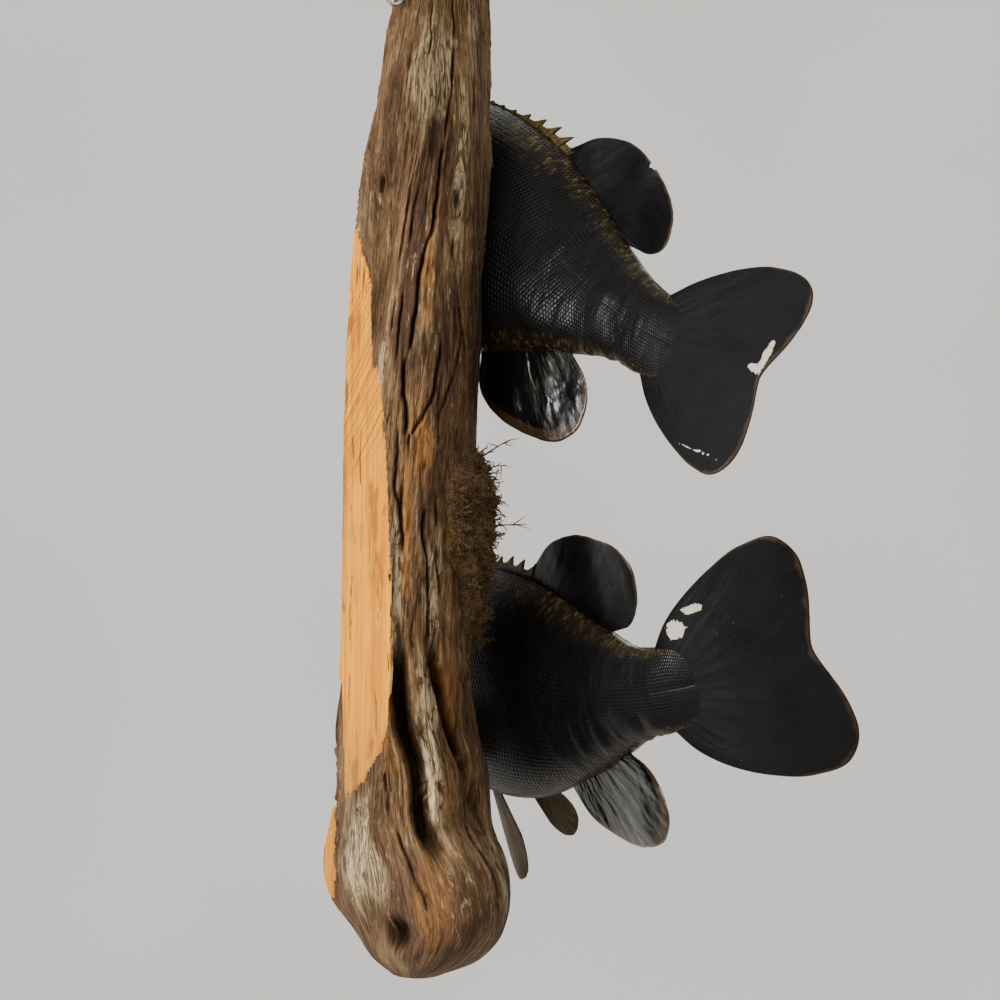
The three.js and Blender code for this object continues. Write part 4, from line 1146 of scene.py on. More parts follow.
OLIVE_RAY, PALE_WEB, PALE_RAY = (0.05, 0.038, 0.018), (0.105, 0.075, 0.040), (0.045, 0.030, 0.016)
PAIRED_FIN = fin_finish("Brown paired fin membrane", PALE_WEB, PALE_RAY, 0.35, (0.34, 0.2, 0.0012),
                        BROWN_PAINT, margin=0.93)
FIN_FINISH = {
    "dorsal": fin_finish("Olive fin membrane", (0.16, 0.12, 0.05), OLIVE_RAY, 0.8, (0.26, 0.14, 0.0014)),
    "tail": fin_finish("Olive tail membrane", (0.15, 0.11, 0.045), OLIVE_RAY, 0.8, (0.4, 0.1, 0.0012)),
    "anal": fin_finish("Pale fin membrane", PALE_WEB, PALE_RAY, 0.35, (0.12, 0.6, 0.0030), margin=0.87),
    "pectoral": PAIRED_FIN,
    "pelvic": PAIRED_FIN,
}
print("fin plates of one fish:", sum(len(fin[1]) for fin in fins_of(LOWER_BASS, 1).values()), "quads")

# %% [markdown]
# ## Eyes, teeth and tongue
#
# A taxidermist sets a glass eye into the socket. Here it is a ball whose parameters are the angle from its
# outward axis and the turn about it, so that the pupil, with its small peak towards the snout, the gold ring
# and the red iris are all functions of those two numbers. The jaws carry fine bands of brush-like teeth.

# %% The glass eyes
def eye_ball(side):
    """A sphere about an axis that looks out and slightly forward, with a slightly raised cornea."""
    out, turn = polar_grid(np.linspace(0, np.pi, 40)[1:-1], 64)
    axis, forward = unit(np.array([0.12, side, 0.06])), np.array([1.0, 0, 0])
    forward = unit(forward - axis * (forward @ axis))
    upward = np.cross(axis, forward) * side
    spoke = forward * np.cos(turn)[..., None] + upward * np.sin(turn)[..., None]
    radius = EYE_RADIUS * LENGTH * (1 + 0.03 * bump(out, 0.5))
    top, bottom, half = along(BODY, EYE_PLACE[0])
    surface = half * section_width(EYE_PLACE[1], top, bottom)
    centre = fish_point(EYE_PLACE[0], side * (surface + EYE_BULGE - EYE_RADIUS), EYE_PLACE[1])
    ball = centre + radius[..., None] * (axis * np.cos(out)[..., None] + spoke * np.sin(out)[..., None])
    poles = centre + np.array([[1.03], [-1.0]]) * EYE_RADIUS * LENGTH * axis
    points = np.concatenate([ball.reshape(-1, 3), poles])
    look = stack(out / np.pi, np.cos(turn), np.sin(turn)).reshape(-1, 3)
    look = np.concatenate([look, [[0, 0, 0], [1, 0, 0]]])
    return points, capped_faces(*out.shape), {"eye": look}


def eye_finish():
    """Black pupil, gold ring, red-brown iris with fine spokes, and a dark rim, under clear glass."""
    f = Finish("Glass bass eye")
    out, cos, sin = f.parts(f.attribute("eye"))
    streaks = f.noise(f.joined(cos, sin, f.times(out, 0.6)), 9.0, 4.0, 0.7)
    edge = f.minus(out, f.times(f.math("MAXIMUM", cos, 0.0), 0.018))
    iris = f.mix(f.ramp(0.3, 0.7, streaks), (0.12, 0.016, 0.005), (0.34, 0.075, 0.014))
    colour = f.mix(f.ramp(0.225, 0.275, out), iris, (0.02, 0.008, 0.004))
    colour = f.over(colour, (0.62, 0.40, 0.10), f.band(edge, 0.150, 0.014))
    colour = f.over(colour, (0.002, 0.002, 0.003), f.ramp(0.145, 0.139, edge))
    return f.done(Base_Color=colour, Roughness=0.12, Coat_Weight=1.0, Coat_Roughness=0.02)


EYE_FINISH = eye_finish()


# %% Teeth and tongue
TOOTH_RADIUS = 0.28 * MM


def tooth_bands():
    """Bands of small five-sided cones on both jaws, on the inner half of the lip."""
    lips = skin_points(2.0, ROUND)[0]
    inner = inner_edge(lips)
    chance = np.random.default_rng(5)
    places, ways = [], []
    for row in (0.5, 0.68, 0.86):
        for jaw in (1, -1):
            turn = np.sort(chance.uniform(0, 2 * np.pi, 150))
            turn = turn[jaw * np.cos(turn) > 0.3]
            at = [np.interp(turn, ROUND, mix(lips, inner, row)[:, k], period=2 * np.pi) for k in range(3)]
            places.append(stack(*at) - [0, 0, jaw * 0.25 * MM])
            ways.append(np.full(len(turn), -jaw))
    places, ways = np.concatenate(places), np.concatenate(ways)
    tall = chance.uniform(0.9, 1.7, len(places)) * MM
    turn = np.arange(5) * 2 * np.pi / 5
    foot = TOOTH_RADIUS * stack(np.cos(turn), np.sin(turn), 0.0)
    tips = stack(-0.35 * tall, 0.0, ways * tall)
    cones = places[:, None] + np.concatenate([np.tile(foot, (len(places), 1, 1)), tips[:, None]], axis=1)
    k = np.arange(5)
    faces = np.concatenate([stack(k, (k + 1) % 5, 5), [[0, 2, 1], [0, 3, 2], [0, 4, 3]]])
    faces = np.where(ways[:, None, None] > 0, faces[None], faces[None, :, ::-1])
    faces = faces + 6 * np.arange(len(places))[:, None, None]
    return cones.reshape(-1, 3), faces.reshape(-1, 3)


def tongue():
    """A flat ellipsoid on the floor of the mouth, with a groove along its middle."""
    out, turn = polar_grid(np.linspace(0.05, np.pi - 0.05, 28), 40)
    across = np.sin(out) * np.cos(turn)
    high = np.sin(out) * np.sin(turn)
    u_shut = 0.1 - 0.042 * np.cos(out)
    groove = 0.0014 * bump(across, 0.25) * (high > 0)
    u, z = open_jaw(u_shut, mouth_line(u_shut) - 0.004 + 0.0055 * high - groove, 1)
    points = fish_point(u, 0.019 * across, z).reshape(-1, 3)
    rows, columns = out.shape
    ends = [zip_ring(start, columns) for start in (0, (rows - 1) * columns)]
    quads = np.concatenate([grid_faces(rows, columns, wrap=True), ends[0][0], ends[1][0][:, ::-1]])
    tris = np.concatenate([ends[0][1], ends[1][1][:, ::-1]])
    return points, all_turned_out(points, [quads, tris])


def enamel_finish():
    """Ivory, a little uneven."""
    f = Finish("Ivory tooth enamel")
    colour = f.mix(f.noise(f.place(), 900.0), (0.62, 0.55, 0.40), (0.80, 0.76, 0.64))
    return f.done(Base_Color=colour, Roughness=0.3)


def tongue_finish():
    """Glossy paint in dull pink, over fine pores."""
    f = Finish("Painted tongue")
    colour = f.mix(f.noise(f.place(), 300.0, 4.0), (0.36, 0.20, 0.15), (0.50, 0.34, 0.27))
    return f.done(Base_Color=colour, Roughness=0.35, Normal=f.bumped(f.noise(f.place(), 1500.0), 0.0003, 0.5))


ENAMEL, TONGUE_FINISH = enamel_finish(), tongue_finish()
TEETH, TONGUE = tooth_bands(), tongue()

# %% [markdown]
# ## The two fish
#
# Everything so far belongs to a straight fish, so each bass is the same set of pieces carried through its own
# spine. The lower one stands for the detailed solids of the frame, node by node, and the upper one's skin
# stands for the single solid `second_bass`.


# %% Mount a bass
def mount_bass(label, bass, seed, nodes):
    """Makes all the pieces of one bass. nodes(part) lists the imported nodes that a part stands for."""
    skin = make_piece(label + "_skin", mounted(SKIN_POINTS, bass), SKIN_FACES, SKIN_MARKS)
    finish_with(skin, SKIN_FINISH, "skin", *nodes("skin"))
    for side, (points, faces, marks, bake) in SCALE_SIDES.items():
        scales = make_piece(f"{label}_scales_{side}", mounted(points, bass), faces, marks)
        add_bake_map(scales, bake)
        finish_with(scales, SCALE_FINISH[side], "skin")
    for name, (points, faces, marks) in fins_of(bass, seed).items():
        placed = mounted(points, bass)
        marks = {**marks, "chip": chipped(marks["straight"], bass["chips"])}
        fin = make_piece(f"{label}_{name}", placed, turned_out(placed, faces), marks)
        membrane = FIN_FINISH[name.split("_")[0]]
        finish_with(fin, membrane, "fin", *nodes(name))
    for side, word in ((1, "left"), (-1, "right")):
        points, faces, marks = eye_ball(side)
        placed = mounted(points, bass)
        eye = make_piece(f"{label}_eye_{word}", placed, all_turned_out(placed, faces), marks)
        finish_with(eye, EYE_FINISH, "eye", *nodes("eye_" + word))
    teeth = make_piece(label + "_teeth", mounted(TEETH[0], bass), TEETH[1], smooth=False)
    finish_with(teeth, ENAMEL, "skin")
    tongue_piece = make_piece(label + "_tongue", mounted(TONGUE[0], bass), TONGUE[1])
    finish_with(tongue_piece, TONGUE_FINISH, "skin")


FLESH = ("bass_head", "bass_lower_jaw", "bass_trunk", "bass_tail_stalk")
mount_bass("lower_bass", LOWER_BASS, 11, lambda part: FLESH if part == "skin" else ("bass_" + part,))
mount_bass("upper_bass", UPPER_BASS, 31, lambda part: ("second_bass",) if part == "skin" else ())

# %% [markdown]
# ## Driftwood
#
# The mount is a weathered root end, sawn flat where it meets the wall. It could be sculpted, or a cylinder
# could be displaced by a texture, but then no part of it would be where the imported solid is. Instead the
# radius is a function of the height z and the turn round the trunk, measured from -X towards the room, as
# in the solid: a table of ovals, plus lumps, splits and knots. On top of it comes what water and sand leave:
# long ridges that follow the grain, cracks between them, and bleached and rusty patches.

# %% The trunk's table and its marks
# height, centre x and y, half across, half to the front, half to the wall on the far and the near side (mm)
TRUNK = [
    (290, 0, -41, 23, 22, 20, 20),
    (259, 0, -40, 27, 26, 26, 26),
    (204, 1, -36, 35, 31, 33, 33),
    (152, 5, -31, 43, 36, 48, 27),
    (100, 9, -26, 54, 39, 70, 20),
    (40, 10, -22, 60, 40, 90, 28),
    (-20, 8, -19, 64, 39, 90, 44),
    (-100, 7, -17, 65, 38, 80, 60),
    (-138, 4, -20, 58, 38, 58, 47),
    (-160, 3, -25, 58, 39, 50, 37),
    (-190, 8, -27, 66, 41, 44, 29),
    (-216, 12, -36, 77, 42, 44, 30),
    (-245, 8, -37, 76, 37, 34, 28),
    (-262, 4, -33, 52, 26, 24, 22),
    (-271, 3, -28, 18, 10, 10, 10),
]
# depth, half width in degrees, lowest and highest height, and the course as (height, turn)
SPLITS = [
    (26, 4.6, -214, -96, [(-214, -4), (-187, -7), (-166, -9), (-145, -11), (-125, -12), (-96, -12)]),
    (15, 3.2, -176, -92, [(-170, 19), (-146, 14), (-96, 3)]),
    (9, 6.0, -222, -160, [(-222, 26), (-160, 22)]),
]
# depth, half width in millimetres, and the course of each long crack
CRACKS = [
    (6.0, 1.0, [(262, 2), (245, 4), (225, 4), (208, 3), (196, 0)]),
    (5.0, 0.9, [(250, 24), (222, 27), (205, 25)]),
    (4.0, 0.8, [(252, -24), (240, -20), (226, -21)]),
    (7.0, 1.1, [(184, -1), (168, -3), (147, -3), (126, -5), (100, -8), (79, -9), (54, -13), (12, -11)]),
    (4.0, 0.8, [(172, -15), (140, -18), (112, -17), (84, -19), (66, -18)]),
    (3.5, 0.7, [(160, -23), (132, -25), (104, -24), (82, -26)]),
    (3.0, 0.7, [(150, -46), (126, -42), (104, -40), (86, -37)]),
    (4.5, 0.9, [(116, 12), (98, 16), (82, 18), (70, 21)]),
    (4.0, 0.8, [(58, 6), (40, 2), (24, -2), (14, -9)]),
    (3.0, 0.7, [(66, 18), (46, 12), (26, 6), (12, 5)]),
    (4.0, 0.8, [(10, -15), (-8, -15), (-22, -13)]),
    (6.0, 0.9, [(-24, -12), (-50, -9), (-74, -7), (-98, -5)]),
    (5.0, 0.8, [(-10, -2), (-44, 0), (-78, 2), (-104, 1)]),
    (4.0, 0.7, [(-28, 5), (-60, 7), (-92, 6)]),
    (3.0, 0.7, [(-30, -20), (-64, -19), (-92, -17)]),
    (3.5, 0.9, [(-160, -30), (-190, -24), (-216, -20), (-240, -12)]),
    (3.0, 0.8, [(-196, 12), (-222, 16), (-246, 14)]),
    (5.0, 1.2, [(270, 130), (180, 122), (90, 128), (0, 120)]),
    (4.0, 1.0, [(120, 160), (20, 168), (-90, 164)]),
    (4.0, 1.0, [(60, 96), (-30, 104), (-120, 98)]),
]
# depth, height, turn, and radius along and across the grain (mm)
KNOTS = [
    (6, 160, -60, 5.5, 3.2),
    (13, -247, -36, 9.0, 11.0),
    (2.5, 147, 12, 6.0, 3.0),
    (4, 236, 150, 7.0, 5.0),
    (5, -60, 140, 9.0, 6.0),
]
# rise, height, turn, reach along the trunk (mm) and round it (degrees)
LUMPS = [
    (46, -210, 200, 34, 17),
    (34, -148, 191, 32, 12),
    (12, 140, 120, 40, 26),
    (3.5, -130, -2, 34, 6),
    (2.5, 81, 3, 26, 20),
    (5.0, -257, -70, 10, 16),
]
MEAN_RADIUS = 48
MM_PER_DEGREE = 0.84  # round the trunk, at its mean radius
BROKEN_LAYERS = ((17.0, 140), (9.0, 240), (5.0, 340))  # pitch in mm and seed
CRACK_END = 9  # how gently a crack runs out, in mm


def turn_from(a, b):
    """The turn from b to a in degrees, from -180 to 180."""
    return (a - b + 180) % 360 - 180


def from_course(course, z, turn):
    """Turn from a course at height z, and how far z lies past the course's ends, in millimetres."""
    heights, turns = np.array(sorted(course)).T
    past = np.maximum(heights[0] - z, 0) + np.maximum(z - heights[-1], 0)
    return turn_from(turn, np.interp(z, heights, turns)), past


def round_trunk(z, turn, tall):
    """A place round the trunk in mm, with its height divided by tall, so that noise follows the grain."""
    a = np.radians(turn)
    return stack(MEAN_RADIUS * np.cos(a), MEAN_RADIUS * np.sin(a), z / tall)


def grain_turn(z, turn):
    """The turn of the fibre that passes here: it wanders slowly and flows round the knots."""
    flow = turn + 9 * fractal(round_trunk(z, turn, 2.2) / 42, 2, 301)
    for _, height, side, along_grain, across in KNOTS:
        off, up = turn_from(turn, side), z - height
        near = np.exp(-((off * MM_PER_DEGREE / (2.6 * across)) ** 2) - (up / (3.0 * along_grain)) ** 2)
        flow = flow - near * np.sign(off) * 8 * np.minimum(np.abs(off) / 3, 1)
    return flow


def weathering(z, turn):
    """Relief left by weather, in mm, and painted shade (0 to 1) by how far down in a crack or knot a place
    lies.

    Noise stretched along the fibre gives ribs |n|, finer fibres and the steps where a layer has broken away.
    """
    fibre = grain_turn(z, turn)
    rough = 0.35 + 0.65 * ease(-0.25, 0.2, fractal(round_trunk(z, turn, 2.0) / 45, 2, 77))
    smooth_foot = 1 - 0.65 * ease(185, 225, -z) * bump(turn_from(turn, -60), 60)
    ribs = 1 - 2 * np.abs(fractal(round_trunk(z, fibre, 12.0) / 5.2, 3, 21))
    fibres = 1 - 2 * np.abs(fractal(round_trunk(z, fibre, 18.0) / 1.9, 2, 55))
    relief = 2.0 * fractal(round_trunk(z, turn, 1.6) / 34, 3, 9)
    relief = relief + (0.9 * (ribs - 0.5) + 0.6 * (fibres - 0.5)) * rough * smooth_foot
    for pitch, seed in BROKEN_LAYERS:
        layer = fractal(round_trunk(z, fibre, 4.5) / pitch, 4, seed)
        relief = relief + 0.65 * ease(0.04, 0.07, layer) * rough * smooth_foot
    # Painted shade, 0 to 1: in the valleys between ribs, and then in the cracks and knots.
    hollow_shade = 0.5 * ease(0.66, 0.95, 1 - ribs) * rough * smooth_foot
    for depth, half, course in CRACKS:
        off, past = from_course(course, z, turn)
        wander = 1.6 * fractal(stack(z / 13.0, half, depth), 3, 31)
        open_share = ease(-0.35, 0.1, fractal(stack(z / 20.0, depth, half), 2, 32))
        aside, runs_out = off * MM_PER_DEGREE + wander, np.exp(-((past / CRACK_END) ** 2))
        line = bump(aside, 0.7 * half, 2) * runs_out * open_share
        lips = bump((np.abs(aside) - 2.2 * half) / half, 1.0) * runs_out
        relief = relief - depth * line + 0.4 * lips
        hollow_shade = np.maximum(hollow_shade, line)
    for depth, height, side, along_grain, across in KNOTS:
        off = np.hypot(turn_from(turn, side) * MM_PER_DEGREE / across, (z - height) / along_grain)
        relief = relief - depth * bump(off, 0.9, 4) + 0.16 * depth * bump(off - 1.45, 0.4)
        relief = relief + 0.5 * np.cos(off * 9) * bump(off - 2.0, 1.0) * (along_grain > 9)
        hollow_shade = np.maximum(hollow_shade, bump(off, 0.85, 4))
    return relief, hollow_shade


def trunk_radius(z, turn):
    """Distance from the centre line to the sound wood, in millimetres: ovals, lumps and splits."""
    _, _, across, front, far_wall, near_wall = np.moveaxis(along(TRUNK, z), -1, 0)
    a = np.radians(turn)
    wall = mix(far_wall, near_wall, ease(-0.7, 0.7, np.cos(a)))
    radius = 1 / np.hypot(np.cos(a) / across, np.sin(a) / np.where(np.sin(a) > 0, front, wall))
    radius = radius + 1.1 * np.sin(2 * a + z / 23) + 0.8 * np.sin(5 * a - z / 31)
    for rise, height, side, tall, wide in LUMPS:
        radius = radius + rise * bump(turn_from(turn, side), wide) * bump(z - height, tall)
    return radius


def split_depth(z, turn):
    """How far the open splits cut in, in millimetres: flat-bottomed slots exp(-|turn / half|^4)."""
    total = 0
    for depth, half, low, high, course in SPLITS:
        off, _ = from_course(course, z, turn)
        window = ease(low, low + 22, z) * (1 - ease(high - 14, high, z))
        ragged = half * (1 + 0.25 * fractal(stack(z / 14, half, np.sign(off)), 2, 61))
        total = total + depth * window * bump(off, ragged, 4)
    return total


# %% Room for the fish
def spine_place(points, bass):
    """The straight fish's (u, y, z) of points in the trophy, by the nearest place on the spine."""
    centres = spine_centres(bass)[::10]
    shares = SPINE_SHARES[::10]
    nearest = np.empty(len(points), int)
    for chunk in np.array_split(np.arange(len(points)), max(1, len(points) // 20000)):
        nearest[chunk] = ((points[chunk, None] - centres[None]) ** 2).sum(-1).argmin(1)
    share = shares[nearest]
    full = spine_centres(bass)
    for _ in range(3):
        centre = stack(*(np.interp(share, SPINE_SHARES, full[:, k]) for k in range(3)))
        tailward, left, up = spine_frame(bass["spine"], share)
        away = points - centre
        share = share + (away * tailward).sum(-1) / LENGTH
    return share, (away * left).sum(-1) / LENGTH, (away * up).sum(-1) / LENGTH


def in_fish(points, bass, room):
    """True in the body, and in the anal fin's plane, both grown by room (a share of the length)."""
    u, y, z = spine_place(points, bass)
    top, bottom, half = np.moveaxis(along(BODY, u), -1, 0)
    width = (half + room) * section_width(z, top + room, bottom + room)
    body = (u > -0.02) & (u < 1.03) & (np.abs(y) < width)
    fin = (u > 0.64) & (u < 0.9) & (z < -0.8 * bottom) & (z > -bottom - 0.145) & (np.abs(y) < 2.4 * room)
    return body | fin


# %% The trunk's surface
# height, and the x (mm) where the fresh sawn face begins and ends, seen from the wall
SAWN_FACE = [
    (160, 64, 70), (147, 43, 90), (113, 7, 120), (80, -14, 120), (42, -31, 120), (8, -41, 120),
    (-50, -52, 120), (-95, -55, 120), (-110, -55, 70), (-135, -52, 66), (-152, -30, 64), (-166, 10, 62),
    (-176, 60, 60),
]
FOOT_SAWN_FROM, FOOT_SAWN_BELOW = 92, -180


def fresh_sawn(x, z):
    """True where the flat face still shows fresh saw work: a long strip, and a sliver on the foot."""
    heights, begin, end = np.array(SAWN_FACE[::-1], float).T
    ragged = 3.0 * fractal(stack(x / 9, z / 16, 0.5), 3, 71)
    on_strip = (x + ragged > np.interp(z, heights, begin)) & (x + ragged < np.interp(z, heights, end))
    on_strip = on_strip & (z < heights[-1] - 6) & (z > heights[0])
    return on_strip | ((x + ragged > FOOT_SAWN_FROM) & (z < FOOT_SAWN_BELOW))


END_ROWS, TRUNK_ROWS, TRUNK_SIDES = 6, 296, 320
TRUNK_TOP, TRUNK_FOOT = TRUNK[0][0], TRUNK[-1][0]
TOP_HEART = along(TRUNK, TRUNK_TOP)[..., :2].ravel() * MM
FISH_ROOM = 1.6
LEAST_RADIUS = 4
CARVING_STEPS = 34


def cut_back(radius, points_at, bass):
    """Lowers the radius by steps at each point in the fish, until it is out. Also counts these points."""
    shape, radius = radius.shape, radius.flatten()

    def inside(some):
        return in_fish(points_at(radius.reshape(shape)).reshape(-1, 3)[some], bass, FISH_ROOM * MM / LENGTH)

    at = np.flatnonzero(inside(slice(None)))
    for _ in range(CARVING_STEPS):
        deeper = at[inside(at)]
        if not len(deeper):
            break
        radius[deeper] = np.maximum(radius[deeper] - FISH_ROOM, LEAST_RADIUS)
    return radius.reshape(shape), len(at)


def trunk_surface():
    """Grid of height x turn, cut flat at the wall, notched for both fish, and closed at both ends."""
    tip = np.linspace(0.04, 1, END_ROWS + 1)[:-1] ** 0.6
    sides = np.linspace(TRUNK_TOP, TRUNK_FOOT, TRUNK_ROWS)
    heights = np.concatenate([np.full(END_ROWS, TRUNK_TOP), sides, np.full(END_ROWS, TRUNK_FOOT)])
    shrink = np.concatenate([tip, np.ones(TRUNK_ROWS), tip[::-1]])
    even = np.linspace(0, 360, TRUNK_SIDES, endpoint=False)
    turns = even - 30 * np.sin(np.radians(even))
    z, turn = np.meshgrid(heights, turns, indexing="ij")
    relief, hollow_shade = weathering(z, turn)
    split = split_depth(z, turn)
    end_fade = ease(TRUNK_FOOT, TRUNK_FOOT + 13, z)
    radius = np.maximum(trunk_radius(z, turn) - split + relief * end_fade, LEAST_RADIUS) * shrink[:, None]
    a = np.radians(turn)
    middle = along(TRUNK, z)
    dome = np.where(shrink < 1, 1 - shrink**2, 0)[:, None] * np.where(z > 0, 1.2, -1.2)

    def points_at(radius):
        x, y = middle[..., 0] - np.cos(a) * radius, middle[..., 1] - np.sin(a) * radius
        wavy = 1.6 * np.sin(x / 5.0) * ease(TRUNK_TOP - 10, TRUNK_TOP, z)
        return stack(x, y, z + dome + wavy) * MM

    for label, bass in (("lower", LOWER_BASS), ("upper", UPPER_BASS)):
        radius, count = cut_back(radius, points_at, bass)
        print("points cut back for the", label, "fish:", count)
    points = points_at(radius)
    flat = points[..., 1] >= -0.02 * MM
    sawn = flat & fresh_sawn(points[..., 0] / MM, z)
    worn = np.where(flat & ~sawn, 0.6 + np.maximum(2.2 - relief, 0), 0) * ease(TRUNK_FOOT, TRUNK_FOOT + 16, z)
    points[..., 1] = np.minimum(points[..., 1], 0) - worn * MM
    # The painted shade of the hollows also darkens the open splits.
    return points, z, turn, np.maximum(hollow_shade, 0.45 * ease(4, 14, split)), sawn


WOOD_POINTS, WOOD_Z, WOOD_TURN, WOOD_HOLLOW_SHADE, WOOD_SAWN = trunk_surface()
print("trunk:", WOOD_POINTS.shape)


# %% Bleached, rusty and dark places
# strength, height, turn, reach along (mm) and round (degrees)
BLEACHED = [
    (1.0, -128, 1, 34, 4.5),
    (1.0, -168, -1, 30, 4.5),
    (1.0, -205, -112, 30, 34),
    (0.9, -214, -66, 20, 22),
    (0.8, -60, -13, 46, 3),
    (0.6, -72, 5, 38, 5),
    (0.6, 225, -18, 34, 22),
    (0.6, 165, 14, 60, 6),
    (0.6, 60, -31, 40, 4),
    (0.6, -210, 26, 30, 7),
    (0.45, 250, 26, 26, 8),
    (0.8, -226, 60, 26, 16),
]
RUSTY = [
    (1.0, 10, -4, 19, 6),
    (0.95, -30, -9, 38, 3.2),
    (0.9, -128, -30, 34, 14),
    (0.55, 104, -4, 26, 4),
    (0.4, -232, -12, 26, 8),
    (0.5, -120, 12, 26, 7),
]
STAINED = [
    (1.2, 112, -15, 66, 8),
    (1.2, 205, -9, 44, 8),
    (1.0, -236, 30, 30, 12),
    (0.75, -240, -16, 34, 30),
    (0.8, 40, 30, 40, 8),
    (0.8, 190, -50, 40, 14),
    (0.7, 236, 2, 30, 8),
    (0.8, 60, 8, 44, 10),
    (0.9, -20, 1, 24, 6),
    (0.8, -150, 16, 50, 6),
    (0.6, -236, -50, 16, 26),
    (0.7, 160, 2, 70, 4),
    (0.9, -132, 178, 40, 22),
]


def patches(table, z, turn):
    """The strongest of several soft patches with ragged edges."""
    ragged = 0.5 * fractal(round_trunk(z, turn, 2.2) / 6, 4, 90)
    best = 0
    for strength, height, side, tall, wide in table:
        off = np.hypot((z - height) / tall, turn_from(turn, side) / wide) + ragged
        best = np.maximum(best, strength * (1 - ease(0.55, 1.25, off)))
    return best


def trunk_marks():
    """The wood's attributes: grain, patches, painted shade of the hollows, sawn places and the trunk's top.
    """
    grain = round_trunk(WOOD_Z, grain_turn(WOOD_Z, WOOD_TURN), 1.0) * MM
    bleached, rusty, stained = (patches(table, WOOD_Z, WOOD_TURN) for table in (BLEACHED, RUSTY, STAINED))
    marks = stack(bleached, rusty, stained)
    top = (np.arange(len(WOOD_Z)) < END_ROWS)[:, None] + 0.0 * WOOD_Z
    return {"grain": grain.reshape(-1, 3), "marks": marks.reshape(-1, 3), "hollow_shade": WOOD_HOLLOW_SHADE.ravel(),
            "top": top.ravel(), "sawn": WOOD_SAWN.ravel().astype(float)}


# %% The finish of the driftwood
def weathered_colour(f, grain, place):
    """Warm brown wood under a silvered skin: fibres, thin checks along the grain, and patches.

    Returns the colour, and the height of the fibres for the bump.
    """
    bleached, rusty, stained = f.parts(f.attribute("marks"))
    broad = f.noise(f.stretch(grain, (60.0, 60.0, 14.0)), 1.0, 4.0, 0.6, 0.5)
    tone = f.noise(place, 16.0, 5.0, 0.62)
    fibres = f.noise(f.stretch(grain, (620.0, 620.0, 42.0)), 1.0, 6.0, 0.7, 0.3)
    threads = f.noise(f.stretch(grain, (2300.0, 2300.0, 150.0)), 1.0, 4.0, 0.65)
    flakes = f.noise(f.stretch(grain, (330.0, 330.0, 75.0)), 1.0, 6.0, 0.7, 0.6)
    colour = f.mix(f.ramp(0.34, 0.62, broad), (0.068, 0.0313, 0.0111), (0.158, 0.0835, 0.0327))
    colour = f.over(colour, (0.198, 0.1253, 0.0652), f.ramp(0.50, 0.70, tone), 0.7)
    colour = f.over(colour, (0.352, 0.2239, 0.1153), f.ramp(0.52, 0.64, fibres), 0.5)
    colour = f.over(colour, (0.033, 0.0151, 0.0071), f.ramp(0.45, 0.36, fibres), 0.8)
    colour = f.over(colour, (0.044, 0.0220, 0.0095), f.ramp(0.47, 0.38, threads), 0.5)
    colour = f.over(colour, (0.422, 0.3004, 0.1749), f.ramp(0.55, 0.64, threads), 0.3)
    colour = f.over(colour, (0.044, 0.0174, 0.0080), stained, 0.72)
    amber = f.mix(fibres, (0.132, 0.0441, 0.0104), (0.493, 0.2192, 0.0557))
    colour = f.over(colour, amber, rusty, 0.8)
    scattered = f.times(f.ramp(0.57, 0.62, flakes), f.ramp(0.44, 0.62, tone))
    flaked = f.times(f.ramp(0.43, 0.47, flakes), bleached)
    chalk = f.mix(f.ramp(0.4, 0.6, threads), (0.264, 0.1833, 0.1074), (0.620, 0.5000, 0.3000))
    colour = f.over(colour, chalk, f.math("MAXIMUM", flaked, f.times(scattered, 0.5)))
    checks = thin_checks(f, grain, 170.0, 0.03)
    checks = f.math("MAXIMUM", checks, f.times(thin_checks(f, grain, 420.0, 0.035), 0.7))
    checks = f.times(checks, f.ramp(0.66, 0.40, tone))
    colour = f.over(colour, (0.014, 0.008, 0.004), checks, 0.9)
    # Painted shade: nearly black in cracks, knots, splits and between ribs.
    colour = f.over(colour, (0.022, 0.012, 0.006), f.attribute("hollow_shade", "Fac"), 0.92)
    height = f.minus(f.plus(f.times(fibres, 0.8), f.times(threads, 0.35)), f.times(checks, 0.7))
    return colour, f.plus(height, f.times(f.ramp(0.43, 0.47, flakes), 0.35))


def thin_checks(f, grain, pitch, width):
    """Long wandering dark lines: where a noise stretched along the grain crosses one half."""
    n = f.noise(f.stretch(grain, (pitch, pitch, pitch / 14), (pitch, 0, 0)), 1.0, 4.0, 0.55, 0.4)
    return f.band(n, 0.5, width)


